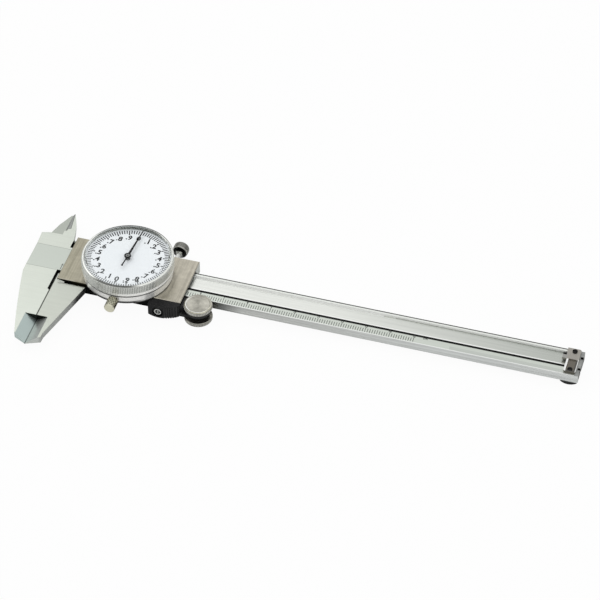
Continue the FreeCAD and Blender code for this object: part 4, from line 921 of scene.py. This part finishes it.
def block_screw_finish():
    """The thumb block's screw: painted shade round it, and painted highlights on a ring and in its
    cross recess.
    """
    low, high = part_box("thumb_block_screw")
    middle = (low + high) / 2
    spot = middle / MM
    wide = (high.x - low.x) / 2 / MM
    screw = turned_metal("Block screw steel", screen(70, 71, 70), middle, 0.35)
    screw.rings = screw.use("rings", Vector=screw.about_y(), Middle=(middle.x, middle.z, 0))
    # Painted shade round the head, and a painted highlight on a ring inside it.
    for inner, outer, over in ((0.78, 2.0, BLACK), (0.56, 0.78, screen(222, 223, 220))):
        screw.paint(screw.band(inner * wide, outer * wide), over, 0.95)
    within = screw.band(outer=0.56 * wide)
    # Painted highlight in the cross recess.
    for reach, thin in ((1.0, 0.2), (0.2, 1.0)):
        cross = screw.zone((spot.x - reach, -40, spot.z - thin),
                           (spot.x + reach, 0, spot.z + thin), 0.06)
        screw.paint((cross, within), screen(206, 208, 205), 0.9)
    return screw


def pointer_finish():
    """The black pointer, with a grey ring round its hub."""
    hand = turned_metal("Blackened pointer", screen(8, 8, 8), DIAL_MIDDLE, 0.5, 0.8)
    hand.set(Metallic=0.0, Specular_IOR_Level=0.1)
    hub = hand.level(POINTER_TOP / MM - 0.1, 20, 0.05)
    for inner, outer, over in ((0.3, 0.85, screen(138, 140, 138)), (0.0, 0.3, BLACK)):
        hand.paint((hand.band(inner, outer), hub), over, 0.9)
    return hand


def block_finish(chosen):
    """The black thumb block, with painted highlights on the ridges along its near side."""
    block = coat("Black thumb block", chosen.block, 260.0, 0.7, 0.4, Specular_IOR_Level=0.25)
    # Painted highlight on the ridges' crests, from a sine across X.
    across = maths(block.tree, "MULTIPLY", parts_of(block.tree, block.here)[0],
                   2 * math.pi / (0.9 * MM))
    ridge = maths(block.tree, "MULTIPLY", maths(block.tree, "SINE", across), 2.0, clamp=True)
    block.paint((ridge, block.zone((48.4, -19, -5), (56, -14.5, 1.2))), screen(62, 62, 61), 0.7)
    block.bump(noise(block.tree, block.here, 5200.0, 2.0), 0.25, 0.03 * MM)
    return block


def rubber_finish():
    """The drive ring's rubber, finely rough."""
    rubber = coat("Drive ring rubber", screen(26, 26, 26), 500.0, 0.6, 0.6)
    rubber.bump(noise(rubber.tree, rubber.here, 6000.0, 2.0), 0.3, 0.03 * MM)
    return rubber


def enamel_finish(chosen):
    """The dial's enamel, a little darker under its outer edge as painted shade."""
    enamel = coat("Dial enamel", chosen.dial, 60.0, 0.05, 0.4, 0.1)
    radius = enamel.use("rings", Middle=DIAL_MIDDLE)["Radius"]
    # Painted shade near the dial's outer edge, under the bezel's rim.
    start = bpy.context.scene.caliper_dial.outer_radius - 0.4 * MM
    edge = maths(enamel.tree, "MULTIPLY", maths(enamel.tree, "SUBTRACT", radius, start), 900.0,
                 clamp=True)
    enamel.paint(edge, screen(190, 196, 198), 0.25)
    return enamel


def print_finish(name, near):
    """Dial printing, paler on the near side."""
    printed = coat(name, screen(16, 17, 17), 700.0, 0.8, 0.5, 0.0, Specular_IOR_Level=0.1)
    printed.paint(printed.beyond((0.1, -1, 0), 6.0, 12.0), near, 0.85)
    return printed


def engraved_finish():
    """Worn ink in the scale's lines."""
    engraved = coat("Engraved lines", screen(40, 41, 40), 420.0, 0.0, 0.45)
    engraved.paint(engraved.patch, screen(96, 97, 94), 0.6)
    return engraved


def crystal_finish():
    """The clear crystal, which lets the lamps through, with painted shade that greys the back of
    its skirt.
    """
    pane = coat("Clear crystal", screen(253, 254, 255), 90.0, 0.03, 0.03, 0.0, IOR=1.16,
                Transmission_Weight=1.0)
    pane.rings = pane.use("rings", Middle=DIAL_MIDDLE)
    # Painted shade on the back of the crystal's skirt.
    pane.paint((pane.band(BEZEL_RADIUS / MM - 2.0), pane.beyond((-0.1, 1, 0), 8.0, 8.0)),
               screen(188, 190, 188))
    path = pane.tree.nodes.new("ShaderNodeLightPath")
    clear = pane.tree.nodes.new("ShaderNodeBsdfTransparent")
    pane.mix_in(maths(pane.tree, "MAXIMUM", path.outputs["Is Shadow Ray"],
                      path.outputs["Is Diffuse Ray"]), clear.outputs[0])
    return pane


def metal_finishes(chosen):
    """The metals, by short names."""
    return {
        "beam": beam_finish(chosen),
        "slider": slider_finish(chosen),
        "trim": trim_finish(),
        "screw": turned_metal("Screw steel", screen(44, 44, 43), (0, 0, 0), 0.35),
        "pinion": turned_metal("Pinion steel", screen(190, 190, 188),
                               (34.7 * MM, -0.857 * MM, 0), 0.25),
        "brass": turned_metal("Movement brass", screen(205, 176, 106), DIAL_MIDDLE, 0.3),
        "plating": plating_finish(chosen),
        "roller": roller_finish(chosen),
        "lock": lock_finish(),
        "warm": clamp_finish(chosen),
        "block_screw": block_screw_finish(),
        "hand": pointer_finish(),
    }


def coat_finishes(chosen):
    """The coats, prints and clear parts, by short names."""
    return {
        # The rack is painted near black, as painted shade for its deep groove.
        "rack": coat("Rack in painted shade", screen(14, 15, 14), 300.0, 0.8, 0.5,
                     Specular_IOR_Level=0.15),
        "block": block_finish(chosen),
        "coated": coat("Black coated steel", screen(22, 22, 23), 300.0, 0.8, 0.3),
        "rubber": rubber_finish(),
        "enamel": enamel_finish(chosen),
        "ink": coat("Printing ink", chosen.ink, 700.0, 0.8, 0.4, Specular_IOR_Level=0.1),
        "lines": print_finish("Dial lines", screen(138, 141, 141)),
        "figures": print_finish("Dial figures", screen(84, 87, 87)),
        "engraved": engraved_finish(),
        "crystal": crystal_finish(),
    }


MADE = {}


def finishes():
    """Every material, built once from the finish settings."""
    if not MADE:
        chosen = bpy.context.scene.caliper_finish
        for finished in (metal_finishes(chosen), coat_finishes(chosen)):
            for key, finish in finished.items():
                MADE[key] = finish.material
    return MADE


# Each material slot's finish, and the CAD nodes that have one of their own.
SLOT_FINISH = {
    "beam_steel": "beam", "slider_steel": "slider", "rack_steel": "rack", "trim_steel": "trim",
    "screw_steel": "screw", "pinion_steel": "pinion", "black_steel": "coated",
    "nickel": "roller", "warm_nickel": "warm", "bright_plating": "plating", "brass": "brass",
    "black_block": "block", "ring_rubber": "rubber", "crystal": "crystal",
    "dial_white": "enamel", "pointer_black": "ink",
}
NODE_FINISH = {"lock_screw": "lock", "thumb_block_screw": "block_screw", "pointer": "hand"}


class CALIPER_OT_finishes(bpy.types.Operator):
    """Gives every CAD node its finish"""
    bl_idname = "caliper.finishes"
    bl_label = "Finishes"

    def execute(self, context):
        made = finishes()
        for entry in frame["record"]["subparts"]:
            node = frame["nodes"][entry["node"]]
            wanted = made[SLOT_FINISH[entry["material_slot"]]]
            if entry["node"] in NODE_FINISH:
                wanted = made[NODE_FINISH[entry["node"]]]
            for slot in node.material_slots:
                slot.material = wanted
        return {"FINISHED"}


class CALIPER_OT_scale(bpy.types.Operator):
    """Engraves the millimetre scale and its figures on the beam"""
    bl_idname = "caliper.scale"
    bl_label = "Beam scale"

    def execute(self, context):
        made = finishes()
        sizes = context.scene.caliper_scale
        half = sizes.line_width / 2
        lines = bmesh.new()
        for index in range(sizes.reach + 1):
            tall = sizes.short_line
            if index % 10 == 0:
                tall = sizes.long_line
            elif index % 5 == 0:
                tall = sizes.half_line
            bar(lines, (index * sizes.pitch - half, -sizes.foot, -sizes.inlay),
                (index * sizes.pitch + half, tall - sizes.foot, sizes.inlay))
        piece("beam_graduations", lines, "beam", made["engraved"])
        figures = bmesh.new()
        rows = [(str(index // 10), index, FIGURE_LINE, sizes.figure_height, FIGURE_WEIGHT)
                for index in range(0, sizes.reach + 1, 10)]
        rows.append(("cm", sizes.reach + UNIT_STEPS, UNIT_LINE, UNIT_HEIGHT, UNIT_WEIGHT))
        for text, steps, line, height, weight in rows:
            place = Matrix.Translation((steps * sizes.pitch, line, -sizes.inlay))
            lettering(figures, text, height, place, 2 * sizes.inlay, weight)
        piece("beam_figures", figures, "beam", made["ink"])
        return {"FINISHED"}


class CALIPER_OT_dial(bpy.types.Operator):
    """Prints the dial's lines and figures"""
    bl_idname = "caliper.dial"
    bl_label = "Dial printing"

    def execute(self, context):
        made = finishes()
        sizes = context.scene.caliper_dial
        face = DIAL_HIGH.z
        middle = Vector((DIAL_MIDDLE.x, DIAL_MIDDLE.y, 0))
        half = sizes.line_width / 2
        turn = Matrix.Translation(middle) @ Matrix.Rotation(-sizes.zero_turn, 4, "Z")
        lines = bmesh.new()
        for inner, outer, wide, count in (
                (sizes.outer_radius - sizes.short_line, sizes.outer_radius, half,
                 sizes.divisions),
                (sizes.outer_radius - sizes.long_line, sizes.outer_radius - sizes.short_line,
                 half * LONG_LINE_SHARE, sizes.labels)):
            verts = bar(lines, (-wide, inner, face - sizes.ink), (wide, outer, face + sizes.ink))
            bmesh.ops.transform(lines, verts=verts, matrix=turn)
            repeat(lines, verts, middle, (0, 0, 1), count)
        piece("dial_lines", lines, "bezel", made["lines"])
        figures = bmesh.new()
        for index in range(sizes.labels):
            angle = math.pi / 2 - sizes.zero_turn - index * 2 * math.pi / sizes.labels
            step = index % 10
            text = "0" if step == 0 else ".%d" % step
            place = Matrix.Translation(middle + Vector((
                sizes.figure_radius * math.cos(angle), sizes.figure_radius * math.sin(angle),
                face - sizes.ink)))
            lettering(figures, text, sizes.figure_height, place, 2 * sizes.ink,
                      DIAL_FIGURE_WEIGHT)
        piece("dial_figures", figures, "bezel", made["figures"])
        return {"FINISHED"}


def knurling(name, body, material, middle, axis, rings, count, depth):
    """A piece of straight knurling: each ring's radius, start and end along the axis."""
    bm = bmesh.new()
    for radius, start, end in rings:
        ridge_ring(bm, middle, axis, radius, start, end, count, depth)
    piece(name, bm, body, material)


class CALIPER_OT_knurls(bpy.types.Operator):
    """Knurls the bezel, roller, lock screw and bezel clamp"""
    bl_idname = "caliper.knurls"
    bl_label = "Knurling"

    def execute(self, context):
        made = finishes()
        sizes = context.scene.caliper_knurls
        deep = sizes.depth
        knurling("bezel_knurling", "bezel", made["plating"],
                 Vector((DIAL_MIDDLE.x, DIAL_MIDDLE.y, 0)), (0, 0, 1),
                 [(BEZEL_RADIUS, BEZEL_LOW.z + 0.3 * MM, BEZEL_HIGH.z - 0.55 * MM)],
                 sizes.bezel_ridges, deep)
        sunk = ROLLER_RADIUS - deep + 0.1 * MM
        knurling("roller_knurling", "roller", made["roller"],
                 Vector((ROLLER_MIDDLE.x, ROLLER_MIDDLE.y, 0)), (0, 0, 1),
                 [(sunk, 0.35 * MM, ROLLER_HIGH.z - 0.5 * MM),
                  (sunk, FLANGE_LOW.z + 0.3 * MM, FLANGE_HIGH.z - 0.3 * MM)],
                 sizes.roller_ridges, deep)
        knurling("lock_knurling", "lock", made["lock"],
                 Vector((LOCK_MIDDLE.x, 0, LOCK_MIDDLE.z)), (0, 1, 0),
                 [((LOCK_HIGH.x - LOCK_LOW.x) / 2, LOCK_HIGH.y - 2.75 * MM,
                   LOCK_HIGH.y - 0.35 * MM)],
                 sizes.lock_ridges, deep)
        low = deep * CLAMP_SHARE
        knurling("clamp_knurling", "bezel_clamp", made["warm"],
                 Vector((CLAMP_MIDDLE.x, 0, CLAMP_MIDDLE.z)), (0, 1, 0),
                 [((CLAMP_HIGH.x - CLAMP_LOW.x) / 2 - low, CLAMP_LOW.y + 0.5 * MM,
                   CLAMP_LOW.y + 5.4 * MM)],
                 sizes.clamp_ridges, low)
        return {"FINISHED"}


class CALIPER_OT_drum(bpy.types.Operator):
    """Turns the smooth ring round the drum, below the bezel"""
    bl_idname = "caliper.drum"
    bl_label = "Drum ring"

    def execute(self, context):
        made = finishes()
        sizes = context.scene.caliper_drum
        outer = BEZEL_RADIUS - sizes.inset
        inner = outer - sizes.wall
        low = DRUM_FOOT + sizes.lift
        high = BEZEL_LOW.z - sizes.gap
        ring = bmesh.new()
        turned_ring(ring, DIAL_MIDDLE,
                    [(inner, low), (outer, low), (outer, high - sizes.bevel),
                     (outer - sizes.bevel, high), (inner, high)], sizes.sides)
        piece("drum_ring", ring, "slider", made["plating"])
        return {"FINISHED"}


def paper_finish():
    """White paper, which the camera sees as nearly even white."""
    paper = Finish("White paper", Roughness=0.9, Specular_IOR_Level=0.1)
    grain = noise(paper.tree, paper.here, 400.0, 2.0)
    paper.dye(paper.tint((0.86, 0.86, 0.86), grain, 0.02))
    path = paper.tree.nodes.new("ShaderNodeLightPath")
    glow = paper.tree.nodes.new("ShaderNodeEmission")
    glow.inputs["Color"].default_value = (1, 1, 1, 1)
    paper.mix_in(maths(paper.tree, "MULTIPLY", path.outputs["Is Camera Ray"], 0.95),
                 glow.outputs[0])
    return paper


def lay_floor(scene):
    """A sheet of paper under the part."""
    bm = bmesh.new()
    bmesh.ops.create_grid(bm, x_segments=1, y_segments=1, size=FLOOR_HALF)
    bmesh.ops.translate(bm, verts=bm.verts, vec=(0.1, 0, CAD_BOX[0][2]))
    mesh = bpy.data.meshes.new("floor")
    bm.to_mesh(mesh)
    bm.free()
    floor = bpy.data.objects.new("floor", mesh)
    scene.collection.objects.link(floor)
    mesh.materials.append(paper_finish().material)


def light_world(scene):
    """A white sky, dimmer toward the horizon, that the camera sees as even white."""
    world = bpy.data.worlds.new("Studio")
    scene.world = world
    world.use_nodes = True
    tree = world.node_tree
    sky = tree.nodes["Background"]
    sky.inputs["Color"].default_value = (1.0, 1.0, 1.0, 1.0)
    path = tree.nodes.new("ShaderNodeLightPath")
    ways = tree.nodes.new("ShaderNodeTexCoord")
    lift = scaled(tree, parts_of(tree, ways.outputs["Generated"])[2], 1.3, 0.25, clamp=True)
    soft = scaled(tree, lift, 0.75, 0.12)
    seen = maths(tree, "MAXIMUM", soft, path.outputs["Is Camera Ray"])
    tree.links.new(seen, sky.inputs["Strength"])


def hang_lamp(scene, name, spot, size, power):
    """A soft area lamp that faces the part."""
    data = bpy.data.lights.new(name, "AREA")
    data.shape = "RECTANGLE"
    data.size, data.size_y = size
    data.energy = power
    holder = bpy.data.objects.new(name, data)
    holder.location = spot
    holder.rotation_euler = (LAMP_AIM - Vector(spot)).to_track_quat("-Z", "Y").to_euler()
    scene.collection.objects.link(holder)


def place_camera(scene, studio):
    """The photo's camera."""
    turn, lift = studio.azimuth, studio.elevation
    away = Vector((math.sin(turn) * math.cos(lift), -math.cos(turn) * math.cos(lift),
                   math.sin(lift)))
    right = Vector((math.cos(turn), math.sin(turn), 0))
    up = away.cross(right)
    side = right * math.cos(studio.roll) + up * math.sin(studio.roll)
    top = up * math.cos(studio.roll) - right * math.sin(studio.roll)
    data = bpy.data.cameras.new("Camera")
    data.lens = studio.lens
    data.sensor_width = SENSOR_WIDTH
    data.clip_start = 0.05
    camera = bpy.data.objects.new("Camera", data)
    camera.matrix_world = (Matrix.Translation(CAMERA_AIM + away * studio.distance)
                           @ Matrix((side, top, away)).transposed().to_4x4())
    scene.collection.objects.link(camera)
    scene.camera = camera


class CALIPER_OT_stage(bpy.types.Operator):
    """Sets the floor, lamps, world and camera"""
    bl_idname = "caliper.stage"
    bl_label = "Studio"

    def execute(self, context):
        scene = context.scene
        studio = scene.caliper_studio
        lay_floor(scene)
        light_world(scene)
        hang_lamp(scene, "Key lamp", (-0.5, 0.35, 1.0), (0.9, 0.6), 1.6 * studio.lamp)
        hang_lamp(scene, "Fill lamp", (0.75, -0.5, 0.8), (0.7, 0.7), 0.8 * studio.lamp)
        place_camera(scene, studio)
        scene.view_settings.view_transform = "Standard"
        return {"FINISHED"}


class CALIPER_PT_panel(bpy.types.Panel):
    """Lists the caliper's operators and settings"""
    bl_idname = "CALIPER_PT_panel"
    bl_label = "Dial Caliper"
    bl_space_type = "VIEW_3D"
    bl_region_type = "UI"
    bl_category = "Caliper"

    def draw(self, context):
        layout = self.layout
        for operator in OPERATORS:
            layout.operator(operator.bl_idname)
        for name, kind in SETTINGS:
            box = layout.box()
            box.label(text=kind.__name__)
            for label in kind.__annotations__:
                box.prop(getattr(context.scene, name), label)


SETTINGS = [
    ("caliper_scale", CaliperScale), ("caliper_dial", CaliperDial),
    ("caliper_knurls", CaliperKnurls), ("caliper_drum", CaliperDrum),
    ("caliper_finish", CaliperFinish),
    ("caliper_studio", CaliperStudio),
]
OPERATORS = [CALIPER_OT_finishes, CALIPER_OT_scale, CALIPER_OT_dial, CALIPER_OT_knurls,
             CALIPER_OT_drum, CALIPER_OT_stage]


def register():
    for name, kind in SETTINGS:
        bpy.utils.register_class(kind)
        setattr(bpy.types.Scene, name, PointerProperty(type=kind))
    for kind in OPERATORS + [CALIPER_PT_panel]:
        bpy.utils.register_class(kind)


def unregister():
    for kind in reversed(OPERATORS + [CALIPER_PT_panel]):
        bpy.utils.unregister_class(kind)
    for name, kind in reversed(SETTINGS):
        delattr(bpy.types.Scene, name)
        bpy.utils.unregister_class(kind)


def main():
    register()
    bpy.ops.caliper.finishes()
    bpy.ops.caliper.scale()
    bpy.ops.caliper.dial()
    bpy.ops.caliper.knurls()
    bpy.ops.caliper.drum()
    bpy.ops.caliper.stage()


if __name__ == "__main__":
    main()
